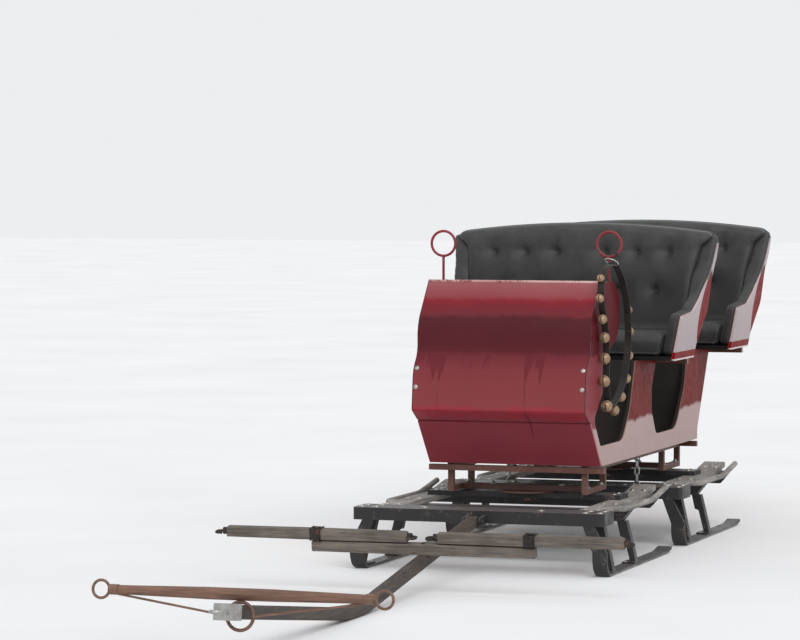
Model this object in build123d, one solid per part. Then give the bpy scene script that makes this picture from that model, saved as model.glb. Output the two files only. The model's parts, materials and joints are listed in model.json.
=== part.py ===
# Two-seat bob sleigh for a pair of draught animals, parked with its pole down on the floor.
# Millimetres. X runs to the sleigh's left, Y to its rear, Z up. While the pieces are made, y is counted
# from the front bob's nose; the last step moves everything so that the origin is on the floor, mid-length.
import math
import os

from build123d import *

# body tub
body_half_width = 370.0
side_thickness = 18.0
body_bottom = 400.0
floor_thickness = 18.0
sheet_thickness = 5.0
kick_start = 9.0
kick_thickness = 12.0
seat_board_bottom = 808.0
riser_thickness = 14.0
riser_fronts = {"front": 1104.0, "rear": 2022.0}
rear_riser_end = 2400.0

# side profile of the tub, (y, z) and the radius of each corner
dash_top = (512.0, 1160.0)
dash_profile = [
    (dash_top, 0.0),
    ((364.0, 985.0), 150.0),
    ((366.0, 868.0), 100.0),
    ((304.0, 800.0), 120.0),
    ((286.0, 634.0), 14.0),
    ((362.0, 590.0), 14.0),
    ((532.0, body_bottom), 0.0),
]
front_door_profile = [
    ((1092.0, seat_board_bottom), 0.0),
    ((1010.0, 612.0), 260.0),
    ((880.0, 484.0), 120.0),
    ((524.0, 484.0), 40.0),
    ((424.0, 600.0), 30.0),
    ((560.0, 700.0), 120.0),
    ((655.0, 872.0), 110.0),
    ((800.0, 925.0), 90.0),
    ((840.0, 1096.0), 42.0),
    ((716.0, dash_top[1]), 8.0),
]
rear_door_profile = [
    ((2010.0, seat_board_bottom), 0.0),
    ((1962.0, 650.0), 140.0),
    ((1800.0, 474.0), 150.0),
    ((1442.0, 474.0), 56.0),
    ((1362.0, 590.0), 90.0),
    ((1368.0, 676.0), 120.0),
    ((1450.0, seat_board_bottom), 0.0),
]
rear_profile = [
    ((2200.0, body_bottom), 0.0),
    ((2204.0, 452.0), 30.0),
    ((2430.0, seat_board_bottom), 0.0),
]

# seats: the y of each seat's front lower corner
seat_fronts = {"front": 1143.0, "rear": 2190.0}
seat_half_width = 525.0
seat_flare = 75.0
seat_flare_height = 500.0
seat_side_thickness = 14.0
seat_board_thickness = 18.0
seat_back_thickness = 14.0
bearer_width = 30.0
bearer_height = 28.0
bearer_half = 505.0
pad_gap = 0.6
wing_pad_thickness = 42.0
back_pad_thickness = 58.0
cushion_height = 98.0
cushion_overhang = 12.0
cushion_roll = 44.0
seat_crown = 574.0
crown_drop = 33.0
crown_shoulder = 40.0
shoulder_inset = 14.0
shoulder_corner = 36.0
shoulder_below_cheek = 4.0

# outline of a seat side, (back from the seat's front, up from its bottom) and the radius of each corner
seat_side_profile = [
    ((0.0, 0.0), 6.0),
    ((36.0, 190.0), 14.0),
    ((222.0, 204.0), 60.0),
    ((326.0, 262.0), 50.0),
    ((392.0, 356.0), 120.0),
    ((440.0, 412.0), 60.0),
    ((486.0, 500.0), 4.0),
    ((505.0, 500.0), 4.0),
    ((505.0, 436.0), 60.0),
    ((472.0, 350.0), 60.0),
    ((486.0, 206.0), 60.0),
    ((362.0, 56.0), 30.0),
    ((355.0, 0.0), 4.0),
]
wing_lining_profile = [
    ((2.0, 24.0), 10.0),
    ((36.0, 190.0), 16.0),
    ((221.0, 204.0), 60.0),
    ((324.0, 262.0), 50.0),
    ((388.0, 357.0), 120.0),
    ((430.0, 412.0), 60.0),
    ((472.0, 514.0), 8.0),
    ((499.0, 518.0), 6.0),
    ((499.0, 438.0), 60.0),
    ((471.0, 351.0), 60.0),
    ((484.0, 208.0), 50.0),
    ((358.0, 54.0), 30.0),
    ((350.0, 24.0), 3.0),
]
seat_back_profile = [
    ((341.0, 0.0), 0.0),
    ((346.0, 60.0), 30.0),
    ((468.0, 208.0), 50.0),
    ((456.0, 350.0), 60.0),
    ((492.0, 440.0), 80.0),
    ((520.0, 590.0), 0.0),
]

# sill frame of square tube, and the two cradles that stand on the bobs
tube = 24.0
sill_gap = 8.0
sill_reach = {"front": 37.0, "rear": 34.0}
sill_rail_x = 290.0
post_pitch = 280.0
pad_radius = 17.0
cradle_bar_bottom = 278.0
wear_plate_gap = 0.3
wear_plate_radius = 110.0
king_pin_radius = 14.0
pin_clearance = 0.1

# bobs: y is counted from each bob's nose
bob_pitch = 1280.0
pivot_from_nose = 720.0
bob_length = 1060.0
bob_half_width = 515.0
deck_bottom = 185.0
crossbar_height = 45.0
plank_height = 22.0
nose_bar_half = 528.0
nose_bar_depth = 165.0
nose_bar_bottom = 204.0
nose_bar_height = 50.0
crossbar_y = (480.0, 950.0)
crossbar_depth = 70.0
plank_x = (372.0, 468.0)
rim_x = 512.0
rim_radius = 12.0
tail_lift = 34.0
tail_length = 230.0
bolster_half = 420.0
bolster_depth = 130.0
bolster_height = 20.0

# runners and their legs
runner_x = 510.0
runner_width = 60.0
runner_thickness = 12.0
runner_bend = 80.0
nose_plate_width = 46.0
nose_plate_top_x = 464.0
leg_y = (120.0, 480.0)
leg_width = 24.0
leg_depth = 40.0
leg_top_x = 486.0
leg_foot_x = 528.0
gusset_width = 16.0
gusset_drop = 62.0
foot_flange = 8.0

# pole and hitch, in the pole's own line
pole_hinge = (-62.0, 214.0)
pole_thickness = 48.0
pole_straight = 1450.0
pole_front = 1330.0
pole_bend = 15.0
pole_bend_radius = 1500.0
pole_pin_radius = 10.0
lug_thickness = 10.0
lug_clearance = 5.0
evener_from_hinge = 630.0
evener_half = 450.0
bar_height = 40.0
bar_depth = 52.0
singletree_half = 370.0
singletree_pivot = 430.0
singletree_depth = 44.0
stack_gap = 6.0
hitch_pin_radius = 8.0
hook_radius = 18.0
hook_wire = 5.0
yoke_half = 475.0
yoke_radius = 21.0
yoke_end_radius = 15.0
yoke_swell_radius = 400.0
pole_ring_radius = 47.0
pole_ring_wire = 6.0
pole_ring_gap = 0.8
pole_chamfer = 9.0
pole_long_edge = 400.0
yoke_sink = 1.5
stay_radius = 4.0
stay_inset = 36.0
yoke_ferrule = 30.0
yoke_ring_radius = 30.0
yoke_wire = 5.0
tip_socket = 110.0

# limit chains between the sill frame and the rear bob
chain_from_bar_front = 145.0
chain_links = 3
link_wire = 3.5
link_half_width = 9.0
link_gap = 0.3
eye_radius = 12.0

# grab rings on the dash wings, and the strap of bells
ring_height = 152.0
ring_centre = (body_half_width - side_thickness / 2, 690.0, dash_top[1] + ring_height)
ring_radius = 52.0
ring_wire = 5.5
strap_width = 28.0
strap_thickness = 5.0
strap_path = [
    (612.0, 1236.0),
    (500.0, 1222.0),
    (432.0, 1160.0),
    (440.0, 1080.0),
    (512.0, 965.0),
    (528.0, 850.0),
    (516.0, 740.0),
    (540.0, 668.0),
    (610.0, 640.0),
    (715.0, 680.0),
    (818.0, 750.0),
    (868.0, 850.0),
    (880.0, 960.0),
    (850.0, 1080.0),
    (760.0, 1180.0),
    (662.0, 1236.0),
]
keeper_y = (605.0, 669.0)
keeper_z = (1228.0, 1240.0)
thong_radius = 3.5
bell_rest = 0.2
# bells, as (share of the strap's length, radius)
bells = [
    (0.115, 15.0),
    (0.160, 17.0),
    (0.215, 20.0),
    (0.272, 22.0),
    (0.330, 23.0),
    (0.388, 24.0),
    (0.446, 24.0),
    (0.505, 23.0),
    (0.575, 22.0),
    (0.640, 21.0),
    (0.700, 19.0),
    (0.760, 18.0),
    (0.815, 16.0),
]

# sizes that follow from those above
largest_bell = max(radius for _, radius in bells)
strap_x = body_half_width + largest_bell + bell_rest - strap_width / 2
seat_lean = math.degrees(math.atan2(seat_flare, seat_flare_height))
cheek_height = max(point[1] for point, _ in seat_side_profile)
sill_top = body_bottom - sill_gap
sill_bottom = sill_top - tube
deck_top = deck_bottom + crossbar_height
plank_top = deck_top + plank_height
bolster_top = plank_top + bolster_height
bob_noses = {"front": 0.0, "rear": bob_pitch}
pivots = {name: nose + pivot_from_nose for name, nose in bob_noses.items()}
chain_y = bob_pitch + chain_from_bar_front
sill_front = pivots["front"] - post_pitch / 2 - sill_reach["front"]
sill_rear = pivots["rear"] + post_pitch / 2 + sill_reach["rear"]
board_end = seat_back_profile[0][0][0] - 2
front_riser_end = seat_fronts["front"] + board_end - bearer_width - riser_thickness
riser_ends = {"front": front_riser_end, "rear": rear_riser_end}
riser_spans = {name: (riser_fronts[name], riser_ends[name]) for name in riser_fronts}
nodes = {}


def block(x, y, z):
    """Box between two values on each axis."""
    size = (x[1] - x[0], y[1] - y[0], z[1] - z[0])
    middle = ((x[0] + x[1]) / 2, (y[0] + y[1]) / 2, (z[0] + z[1]) / 2)
    return Pos(*middle) * Box(*size)


def twin(piece):
    """A piece and its mirror image on the other side of the sleigh."""
    return Compound([piece, mirror(piece, about=Plane.YZ)])


def outline(profile):
    """Closed face from (point, radius) rows."""
    points = [row[0] for row in profile]
    radii = [row[1] for row in profile]
    return make_face(FilletPolyline(*points, radius=radii, close=True).edges())


def across(face, x0, x1):
    """Extrudes a face drawn in (y, z) between two values of x."""
    return extrude(Plane.YZ.offset(x0) * face, amount=x1 - x0, dir=(1, 0, 0))


def along(face, y0, y1):
    """Extrudes a face drawn in (x, z) between two values of y."""
    return extrude(Plane.XZ.offset(-y0) * face, amount=y1 - y0, dir=(0, 1, 0))


def rise(face, z0, z1):
    """Extrudes a face drawn in (x, y) between two values of z."""
    return extrude(Plane.XY.offset(z0) * face, amount=z1 - z0, dir=(0, 0, 1))


def shifted(profile, dy, dz=0.0):
    return [((p[0] + dy, p[1] + dz), r) for p, r in profile]


def beside(profile, distance):
    """The (point, radius) rows of a line that runs at a distance to the left of another."""
    points = [row[0] for row in profile]
    result = []
    for i, (point, radius) in enumerate(profile):
        legs = []
        if i > 0:
            legs.append((points[i - 1], point))
        if i < len(points) - 1:
            legs.append((point, points[i + 1]))
        normals = []
        for a, b in legs:
            length = math.dist(a, b)
            normals.append(((a[1] - b[1]) / length, (b[0] - a[0]) / length))
        if len(normals) == 1:
            nx, ny = normals[0]
            turn = 0.0
        else:
            (ax, ay), (bx, by) = normals
            share = 1.0 + ax * bx + ay * by
            nx, ny = (ax + bx) / share, (ay + by) / share
            turn = ax * by - ay * bx
        new_radius = radius - math.copysign(distance, turn) if radius > 0 else 0.0
        result.append(((point[0] + nx * distance, point[1] + ny * distance), max(new_radius, 0.0)))
    return result


def open_line(profile):
    points = [row[0] for row in profile]
    radii = [row[1] for row in profile[1:-1]]
    if not radii:
        return Line(*points)
    return FilletPolyline(*points, radius=radii)


def strip(profile, other):
    """Face between two open lines that run the same way."""
    near = open_line(profile)
    far = open_line(other)
    ends = [Line(other[0][0], profile[0][0]), Line(profile[-1][0], other[-1][0])]
    return make_face([*near.edges(), *far.edges(), *ends[0].edges(), *ends[1].edges()])


def band(profile, thickness):
    """Strip of even thickness to the left of an open line."""
    return strip(profile, beside(profile, thickness))


def even_radii(points, share=0.45):
    """The largest even bends that an open route allows."""
    rows = [(points[0], 0.0)]
    for before, point, after in zip(points, points[1:], points[2:]):
        a = math.atan2(point[1] - before[1], point[0] - before[0])
        b = math.atan2(after[1] - point[1], after[0] - point[0])
        turn = abs((b - a + math.pi) % (2 * math.pi) - math.pi)
        shorter = min(math.dist(before, point), math.dist(point, after))
        rows.append((point, share * shorter / math.tan(turn / 2)))
    rows.append((points[-1], 0.0))
    return rows


def rod(points, radii, radius):
    """Round bar along a filleted route."""
    path = FilletPolyline(*points, radius=radii) if radii else Line(*points)
    return sweep(Plane(origin=path @ 0, z_dir=path % 0) * Circle(radius), path=path)


def cylinder(centre, radius, length, axis):
    """Cylinder about a centre point, along a named axis."""
    turn = {"x": (0, 90, 0), "y": (90, 0, 0), "z": (0, 0, 0)}[axis]
    return Pos(*centre) * Rot(*turn) * Cylinder(radius, length)


def side_panels():
    """One piece per side: dash wing, both door cut-outs and the seat columns in one outline."""
    skin = beside(dash_profile[:6], sheet_thickness)
    skin[-1] = (skin[-1][0], 0.0)
    (y0, z0), (y1, z1) = [row[0] for row in beside(kick_line(), kick_thickness)]
    heel = (y1 + (y1 - y0) * (body_bottom - z1) / (z1 - z0), body_bottom)
    rows = [*skin, ((y0, z0), 0.0), (heel, 0.0), *rear_profile, *rear_door_profile, *front_door_profile]
    left = across(outline(rows), body_half_width - side_thickness, body_half_width)
    nodes["side_panel_left"] = left
    nodes["side_panel_right"] = mirror(left, about=Plane.YZ)


def kick_line():
    """Front of the kick board, from just below the dash sheet's lip to the foot."""
    lip, foot = dash_profile[5][0], dash_profile[6][0]
    slope = math.atan2(foot[1] - lip[1], foot[0] - lip[0])
    top = (lip[0] + kick_start * math.cos(slope), lip[1] + kick_start * math.sin(slope))
    return [(top, 0.0), (foot, 0.0)]


def front_and_rear():
    """Curved dash sheet and kick board over the side panels' front edges, rear board between the panels."""
    inner = body_half_width - side_thickness
    nodes["dash_panel"] = across(band(dash_profile[:6], sheet_thickness), -body_half_width, body_half_width)
    nodes["kick_board"] = across(band(kick_line(), kick_thickness), -body_half_width, body_half_width)
    room = block((-inner, inner), (0.0, 2 * rear_profile[-1][0][0]), (body_bottom, seat_board_bottom))
    rear = [*rear_profile[:-1], (rear_top_extended(), 0.0)]
    nodes["rear_board"] = across(band(rear, kick_thickness), -inner, inner) & room


def rear_top_extended():
    """The rear board's upper corner, carried on past the seat board so that its end can be cut level."""
    (y0, z0), (y1, z1) = rear_profile[-2][0], rear_profile[-1][0]
    share = 1.0 + 2.0 * kick_thickness / math.dist((y0, z0), (y1, z1))
    return (y0 + (y1 - y0) * share, z0 + (z1 - z0) * share)


def floor():
    inner = body_half_width - side_thickness
    front = dash_profile[-1][0][0] + kick_thickness
    rear = rear_profile[0][0][0] - kick_thickness
    top = body_bottom + floor_thickness
    nodes["floor_pan"] = block((-inner, inner), (front, rear), (body_bottom, top))


def risers():
    """Boards that close each seat's column to the front and to the rear, with the board on top."""
    inner = body_half_width - side_thickness
    floor_top = body_bottom + floor_thickness
    for name, (y0, y1) in riser_spans.items():
        top = (y0, y1), (seat_board_bottom - riser_thickness, seat_board_bottom)
        riser = block((-inner, inner), *top)
        riser += block((-inner, inner), (y0, y0 + riser_thickness), (floor_top, seat_board_bottom))
        if name == "front":
            riser += block((-inner, inner), (y1 - riser_thickness, y1), (floor_top, seat_board_bottom))
        nodes[f"{name}_seat_riser"] = riser


def seat_cheek_plane(offset):
    """Plane of a seat side: x along the sleigh, y up and outwards; offset moves it inwards."""
    lean = math.radians(seat_lean)
    origin = Vector(seat_half_width, 0, seat_board_bottom)
    normal = Vector(math.cos(lean), 0, -math.sin(lean))
    return Plane(origin=origin - normal * offset, x_dir=(0, 1, 0), z_dir=normal)


def between_cheeks(offset, low, high, depth):
    """Prism between the two seat sides, moved inwards by an offset, with the crowned top of the back."""
    lean = math.radians(seat_lean)
    inwards = offset / math.cos(lean)
    foot = seat_half_width - inwards + (low - seat_board_bottom) * math.tan(lean)
    side_top = seat_board_bottom + cheek_height - shoulder_below_cheek
    wide = seat_half_width - inwards + (side_top - seat_board_bottom) * math.tan(lean)
    if high <= side_top:
        wide = seat_half_width - inwards + (high - seat_board_bottom) * math.tan(lean)
        rows = [((-foot, low), 0), ((foot, low), 0), ((wide, high), 0), ((-wide, high), 0)]
    else:
        shoulder = wide - shoulder_inset
        half = shoulder - crown_shoulder
        shoulder_top = high + crown_drop - shoulder * 2 * crown_drop / half
        rows = [
            ((-foot, low), 0),
            ((foot, low), 0),
            ((wide, side_top), 6),
            ((shoulder, shoulder_top), shoulder_corner),
            ((0, high + crown_drop), (half**2 + crown_drop**2) / (2 * crown_drop)),
            ((-shoulder, shoulder_top), shoulder_corner),
            ((-wide, side_top), 6),
        ]
    return along(outline(rows), *depth)


def seats():
    crown = seat_board_bottom + seat_crown
    wide = seat_half_width + 2 * seat_flare
    for name, y0 in seat_fronts.items():
        depth = (y0 - 5 * cushion_overhang, y0 + seat_back_profile[-1][0][0] + 10 * cushion_overhang)
        cheek = extrude(seat_cheek_plane(0) * outline(shifted(seat_side_profile, y0)),
                        amount=-seat_side_thickness)
        nodes[f"{name}_seat_side_left"] = cheek
        nodes[f"{name}_seat_side_right"] = mirror(cheek, about=Plane.YZ)

        board_y = (y0 + 4, y0 + board_end)
        board = along(outline([
            ((-(seat_half_width - seat_side_thickness - 1), seat_board_bottom), 0),
            ((seat_half_width - seat_side_thickness - 1, seat_board_bottom), 0),
            ((seat_half_width - seat_side_thickness, seat_board_bottom + seat_board_thickness), 0),
            ((-(seat_half_width - seat_side_thickness), seat_board_bottom + seat_board_thickness), 0),
        ]), *board_y)
        back_rows = shifted(seat_back_profile, y0, seat_board_bottom)
        back = across(band(back_rows, seat_back_thickness), -wide, wide)
        trim = between_cheeks(seat_side_thickness, seat_board_bottom, crown, depth)
        bearer = block(
            (-bearer_half, bearer_half),
            (board_y[1] - bearer_width, board_y[1]),
            (seat_board_bottom - bearer_height, seat_board_bottom),
        )
        nodes[f"{name}_seat_shell"] = board + (back & trim) + bearer

        # wing pads: the lining of each cheek, short of the back board
        lining = outline(shifted(wing_lining_profile, y0))
        pad = extrude(seat_cheek_plane(seat_side_thickness + pad_gap) * lining, amount=-wing_pad_thickness)
        face = beside(back_rows, seat_back_thickness + 2 * pad_gap)
        far = face[-1][0][0] + seat_half_width
        behind = [*face, ((far, face[-1][0][1]), 0.0), ((far, face[0][0][1]), 0.0)]
        nodes[f"{name}_wing_pads"] = twin(pad - across(outline(behind), -wide, wide))

        # back pad between the wing pads; its front hangs straight across the hollow of the shell
        inner_offset = seat_side_thickness + wing_pad_thickness + 2 * pad_gap
        pad_rows = beside(back_rows, seat_back_thickness + pad_gap)
        front_rows = beside(pad_rows, back_pad_thickness)
        back_pad = across(strip(pad_rows, front_rows[:2] + front_rows[4:]), -wide, wide)
        cushion_top = seat_board_bottom + seat_board_thickness + cushion_height
        room = between_cheeks(inner_offset, cushion_top + 2, crown - 6, depth)
        nodes[f"{name}_back_pad"] = back_pad & room

        cushion_bottom = seat_board_bottom + seat_board_thickness + pad_gap
        room = between_cheeks(inner_offset, cushion_bottom, cushion_top, depth)
        rear_rows = beside(back_rows, seat_back_thickness + pad_gap)
        rear_line = [p for p, _ in rear_rows if p[1] < cushion_top + 40]
        front = y0 - cushion_overhang
        cushion_rows = [
            ((front + 14, cushion_bottom), 4),
            ((rear_line[0][0] - 2, cushion_bottom), 2),
            ((rear_line[0][0] + 2, cushion_top), 10),
            ((front, cushion_top), cushion_roll),
        ]
        nodes[f"{name}_seat_cushion"] = across(outline(cushion_rows), -wide, wide) & room


def sill_frame():
    """Square tube frame under the floor, with a round packer over each post."""
    z = (sill_bottom, sill_top)
    half = tube / 2
    frame = block((-body_half_width - 8, body_half_width + 8), (sill_front, sill_front + tube), z)
    frame += block((-body_half_width - 8, body_half_width + 8), (sill_rear - tube, sill_rear), z)
    for side in (-1, 1):
        x = side * sill_rail_x
        frame += block((x - half, x + half), (sill_front, sill_rear), z)
    for pivot in pivots.values():
        for side in (-1, 1):
            for end in (-1, 1):
                centre = (side * sill_rail_x, pivot + end * post_pitch / 2, sill_top + sill_gap / 2)
                frame += cylinder(centre, pad_radius, sill_gap, "z")
    nodes["sill_frame"] = frame


def cradles():
    """Posts from the sill frame down to the bar that stands on each bob's bolster."""
    half = tube / 2
    bar_z = (cradle_bar_bottom, cradle_bar_bottom + tube)
    for name, pivot in pivots.items():
        cradle = block((-sill_rail_x - half, sill_rail_x + half), (pivot - half, pivot + half), bar_z)
        for side in (-1, 1):
            x = (side * sill_rail_x - half, side * sill_rail_x + half)
            reach = post_pitch / 2 + half
            cradle += block(x, (pivot - reach, pivot + reach), bar_z)
            for end in (-1, 1):
                y = pivot + end * post_pitch / 2
                cradle += block(x, (y - half, y + half), (cradle_bar_bottom, sill_bottom))
        plate_bottom = bolster_top + (wear_plate_gap if name == "front" else 0.0)
        plate_height = cradle_bar_bottom - plate_bottom
        plate_z = plate_bottom + plate_height / 2
        cradle += cylinder((0, pivot, plate_z), wear_plate_radius, plate_height, "z")
        pin_bottom = deck_top + 4
        pin_height = cradle_bar_bottom - pin_bottom
        cradle += cylinder((0, pivot, pin_bottom + pin_height / 2), king_pin_radius, pin_height, "z")
        nodes[f"{name}_cradle"] = cradle


def bob(name):
    """Crossbars, side planks with their rims, bolster and two runners of one bob."""
    nose = bob_noses[name]
    tail = nose + bob_length
    nose_rows = [
        ((-nose_bar_half, nose), 16),
        ((nose_bar_half, nose), 16),
        ((nose_bar_half, nose + nose_bar_depth), 16),
        ((-nose_bar_half, nose + nose_bar_depth), 16),
    ]
    bars = [rise(outline(nose_rows), nose_bar_bottom, nose_bar_bottom + nose_bar_height)]
    for y in crossbar_y:
        cut = crossbar_height * 0.8
        rows = [
            ((-bob_half_width + cut, deck_bottom), 0),
            ((bob_half_width - cut, deck_bottom), 0),
            ((bob_half_width, deck_top), 0),
            ((-bob_half_width, deck_top), 0),
        ]
        middle = nose + y
        bar = along(outline(rows), middle - crossbar_depth / 2, middle + crossbar_depth / 2)
        turn_up = tail - tail_length
        if middle > turn_up:
            about = Pos(0, turn_up, deck_top)
            bar = about * Rot(math.degrees(math.atan2(tail_lift, tail_length)), 0, 0) * about.inverse() * bar
        bars.append(bar)
    if name == "front":
        lug_out = pole_thickness / 2 + lug_clearance
        for side in (-1, 1):
            inside = side * lug_out
            outside = side * (lug_out + lug_thickness)
            y, z = pole_hinge
            rows = [
                ((nose, z - 24), 0),
                ((nose, z + 24), 0),
                ((y - 18, z + 18), 16),
                ((y - 18, z - 18), 16),
            ]
            bars[0] += across(outline(rows), min(inside, outside), max(inside, outside))
        pin_length = 2 * (lug_out + lug_thickness) + 16
        bars[0] += cylinder((0, *pole_hinge), pole_pin_radius, pin_length, "x")
    nodes[f"{name}_bob_crossbars"] = Compound(bars)

    # planks run from the nose bar to the tail and turn up at the end
    plank_front = nose + nose_bar_depth + 1
    plank_rows = [
        ((plank_front, deck_top), 0),
        ((tail - tail_length, deck_top), 300),
        ((tail, deck_top + tail_lift), 0),
    ]
    plank = across(band(plank_rows, plank_height), *plank_x)
    rim_front = nose + crossbar_y[0] - 90
    rim_z = deck_top + rim_radius + pin_clearance
    upturn = math.atan2(tail_lift, tail_length)
    rim_corner = tail - tail_length - rim_radius * math.tan(upturn / 2)
    rim_end = tail + 10
    rim = rod(
        [
            (plank_x[1] - 4, rim_front, rim_z),
            (rim_x, rim_front, rim_z),
            (rim_x, rim_corner, rim_z),
            (rim_x, rim_end, rim_z + (rim_end - rim_corner) * math.tan(upturn)),
        ],
        [30.0, 300.0],
        rim_radius,
    )
    nodes[f"{name}_bob_planks"] = twin(plank + rim)

    pivot = pivots[name]
    bolster = block(
        (-bolster_half, bolster_half),
        (pivot - bolster_depth / 2, pivot + bolster_depth / 2),
        (plank_top, bolster_top),
    )
    bore = king_pin_radius + pin_clearance
    bolster -= cylinder((0, pivot, plank_top), bore, 4 * bolster_height, "z")
    nodes[f"{name}_bolster"] = bolster

    runner = runner_with_legs(nose, tail)
    nodes[f"{name}_runner_left"] = runner
    nodes[f"{name}_runner_right"] = mirror(runner, about=Plane.YZ)


def runner_with_legs(nose, tail):
    """Flat bar bent up at the nose to meet the nose bar, with two splayed legs."""
    x0 = runner_x - runner_width / 2
    x1 = runner_x + runner_width / 2
    bend_top = runner_bend + 20
    rows = [
        ((nose, bend_top), 0),
        ((nose, 0), runner_bend),
        ((tail - 90, 0), 400),
        ((tail - 4, 14), 0),
    ]
    runner = across(band(rows, runner_thickness), x0, x1)
    half = nose_plate_width / 2
    lean_rows = [
        ((x0, bend_top), 0),
        ((x1, bend_top), 0),
        ((nose_plate_top_x + half, nose_bar_bottom), 0),
        ((nose_plate_top_x - half, nose_bar_bottom), 0),
    ]
    runner += along(outline(lean_rows), nose, nose + runner_thickness)
    for y in leg_y:
        top = nose_bar_bottom if y < nose_bar_depth else deck_bottom
        middle = nose + y
        half = leg_width / 2
        leg_rows = [
            ((leg_foot_x - half, runner_thickness), 0),
            ((leg_foot_x + half, runner_thickness), 0),
            ((leg_top_x + half, top), 0),
            ((leg_top_x - half - gusset_width, top), 0),
            ((leg_top_x - half - gusset_width + 14, top - gusset_drop), 0),
            ((leg_top_x - half + 15, top - gusset_drop - 6), 0),
        ]
        runner += along(outline(leg_rows), middle - leg_depth / 2, middle + leg_depth / 2)
        flange = (x0 + 4, x1 - 2), (middle - leg_depth, middle + leg_depth)
        runner += block(*flange, (runner_thickness - 1, runner_thickness + foot_flange))
    return runner


def pole_drop():
    """Angle by which the pole hangs below level when its bend lies on the floor."""
    bend = math.radians(pole_bend)
    along_u = pole_straight - pole_bend_radius * math.tan(bend / 2)
    reach = math.hypot(pole_bend_radius, along_u)
    target = pole_bend_radius + pole_thickness / 2 - pole_hinge[1]
    return math.acos(target / reach) - math.atan2(along_u, pole_bend_radius)


def lowered(piece):
    """Takes a piece from the pole's own line, hinge at the origin and pole along -Y, to its parked place."""
    return Pos(0, *pole_hinge) * Rot(math.degrees(pole_drop()), 0, 0) * piece


def lowered_point(y, z):
    """The same for a point in the middle plane."""
    drop = pole_drop()
    return (
        pole_hinge[0] + y * math.cos(drop) - z * math.sin(drop),
        pole_hinge[1] + y * math.sin(drop) + z * math.cos(drop),
    )


def tapered_bar(half, depth, height, waist=0.72):
    """Wooden draught bar, deepest in the middle, seen from above as a long lens with blunt ends."""
    end = depth * waist / 2
    rows = [
        ((-half, -end), 6),
        ((0, -depth / 2), 4 * half),
        ((half, -end), 6),
        ((half, end), 6),
        ((0, depth / 2), 4 * half),
        ((-half, end), 6),
    ]
    bar = rise(outline(rows), 0, height)
    return chamfer(bar.faces().sort_by(Axis.Z)[-1].edges(), 5)


def pole_and_hitch():
    half = pole_thickness / 2
    bend = math.radians(pole_bend)
    corner = (-pole_straight - half * math.tan(bend / 2), -half)
    tip = (
        -pole_straight - pole_front * math.cos(bend) - half * math.sin(bend),
        pole_front * math.sin(bend) - half * math.cos(bend),
    )
    rows = [((half, -half), 0), (corner, pole_bend_radius + half), (tip, 0)]
    shaft = across(band(rows[::-1], pole_thickness), -half, half)
    long_edges = [e for e in shaft.edges() if e.length > pole_long_edge]
    shaft = chamfer(long_edges, pole_chamfer)
    eye = cylinder((0, 0, 0), half, pole_thickness, "x")
    shaft = (shaft - block((-half - 1, half + 1), (0, 2 * half), (-2 * half, 2 * half))) + eye
    shaft -= cylinder((0, 0, 0), pole_pin_radius + pin_clearance, 4 * pole_thickness, "x")
    evener_y = -evener_from_hinge
    shaft += cylinder((0, evener_y, half + bar_height / 2), hitch_pin_radius, bar_height + 10, "z")
    nodes["pole"] = lowered(shaft)

    # pale iron socket and eye on the pole's tip
    tip_frame = Pos(0, -pole_straight, 0) * Rot(-pole_bend, 0, 0)
    socket_y = (-pole_front - 6, -pole_front + tip_socket)
    socket = block((-half - 4, half + 4), socket_y, (-half - 4, half + 4))
    socket -= block((-half, half), (-pole_front, 0), (-half, half))
    loop_y = -pole_front - 6
    loop = rod(
        [(-20, loop_y, 0), (-20, loop_y - 62, 0), (20, loop_y - 62, 0), (20, loop_y, 0)],
        [19.0, 19.0],
        6.0,
    )
    nodes["pole_tip"] = lowered(tip_frame * (socket + loop))

    # evener across the pole, singletrees on its ends
    lift = half + 0.4
    evener = Pos(0, evener_y, lift) * tapered_bar(evener_half, bar_depth, bar_height)
    bore = hitch_pin_radius + pin_clearance
    evener -= cylinder((0, evener_y, lift), bore, 4 * bar_height, "z")
    tree_z = lift + bar_height + stack_gap
    for side in (-1, 1):
        centre = (side * singletree_pivot, evener_y, lift + bar_height + (stack_gap + bar_height) / 2)
        evener += cylinder(centre, hitch_pin_radius, stack_gap + bar_height + 8, "z")
    nodes["evener"] = lowered(evener)
    for name, side in (("left", 1), ("right", -1)):
        x = side * singletree_pivot
        tree = Pos(x, evener_y, tree_z) * tapered_bar(singletree_half, singletree_depth, bar_height)
        tree -= cylinder((x, evener_y, tree_z), bore, 4 * bar_height, "z")
        nodes[f"singletree_{name}"] = lowered(tree)
        hooks = [trace_hook(x + end * singletree_half, evener_y, tree_z + bar_height / 2, end)
                 for end in (-1, 1)]
        nodes[f"trace_hooks_{name}"] = lowered(Compound(hooks))

    # neck yoke in the tip's loop
    nodes["neck_yoke"] = lowered(tip_frame * Pos(0, -pole_front + tip_socket + 60, 0) * neck_yoke())


def trace_hook(x, y, z, end):
    """Ferrule on a singletree's end with an open hook that points forward."""
    ferrule = cylinder((x + end * 8, y, z), 14.0, 16.0, "x")
    start = x + end * 16
    hook = rod(
        [
            (start, y, z),
            (start + end * 22, y, z),
            (start + end * 22, y - 2 * hook_radius, z),
            (start - end * 6, y - 2 * hook_radius, z),
        ],
        [hook_radius * 0.8, hook_radius * 0.8],
        hook_wire,
    )
    return ferrule + hook


def yoke_heights():
    """Heights of the middle ring's centre, resting on the pole's upper edges, and of the yoke's bar."""
    half = pole_thickness / 2
    inside = pole_ring_radius - pole_ring_wire
    ring_centre_z = half + pole_ring_gap - math.sqrt(inside**2 - (half - pole_chamfer) ** 2)
    return ring_centre_z, ring_centre_z + pole_ring_radius + pole_ring_wire + yoke_radius - yoke_sink


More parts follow.
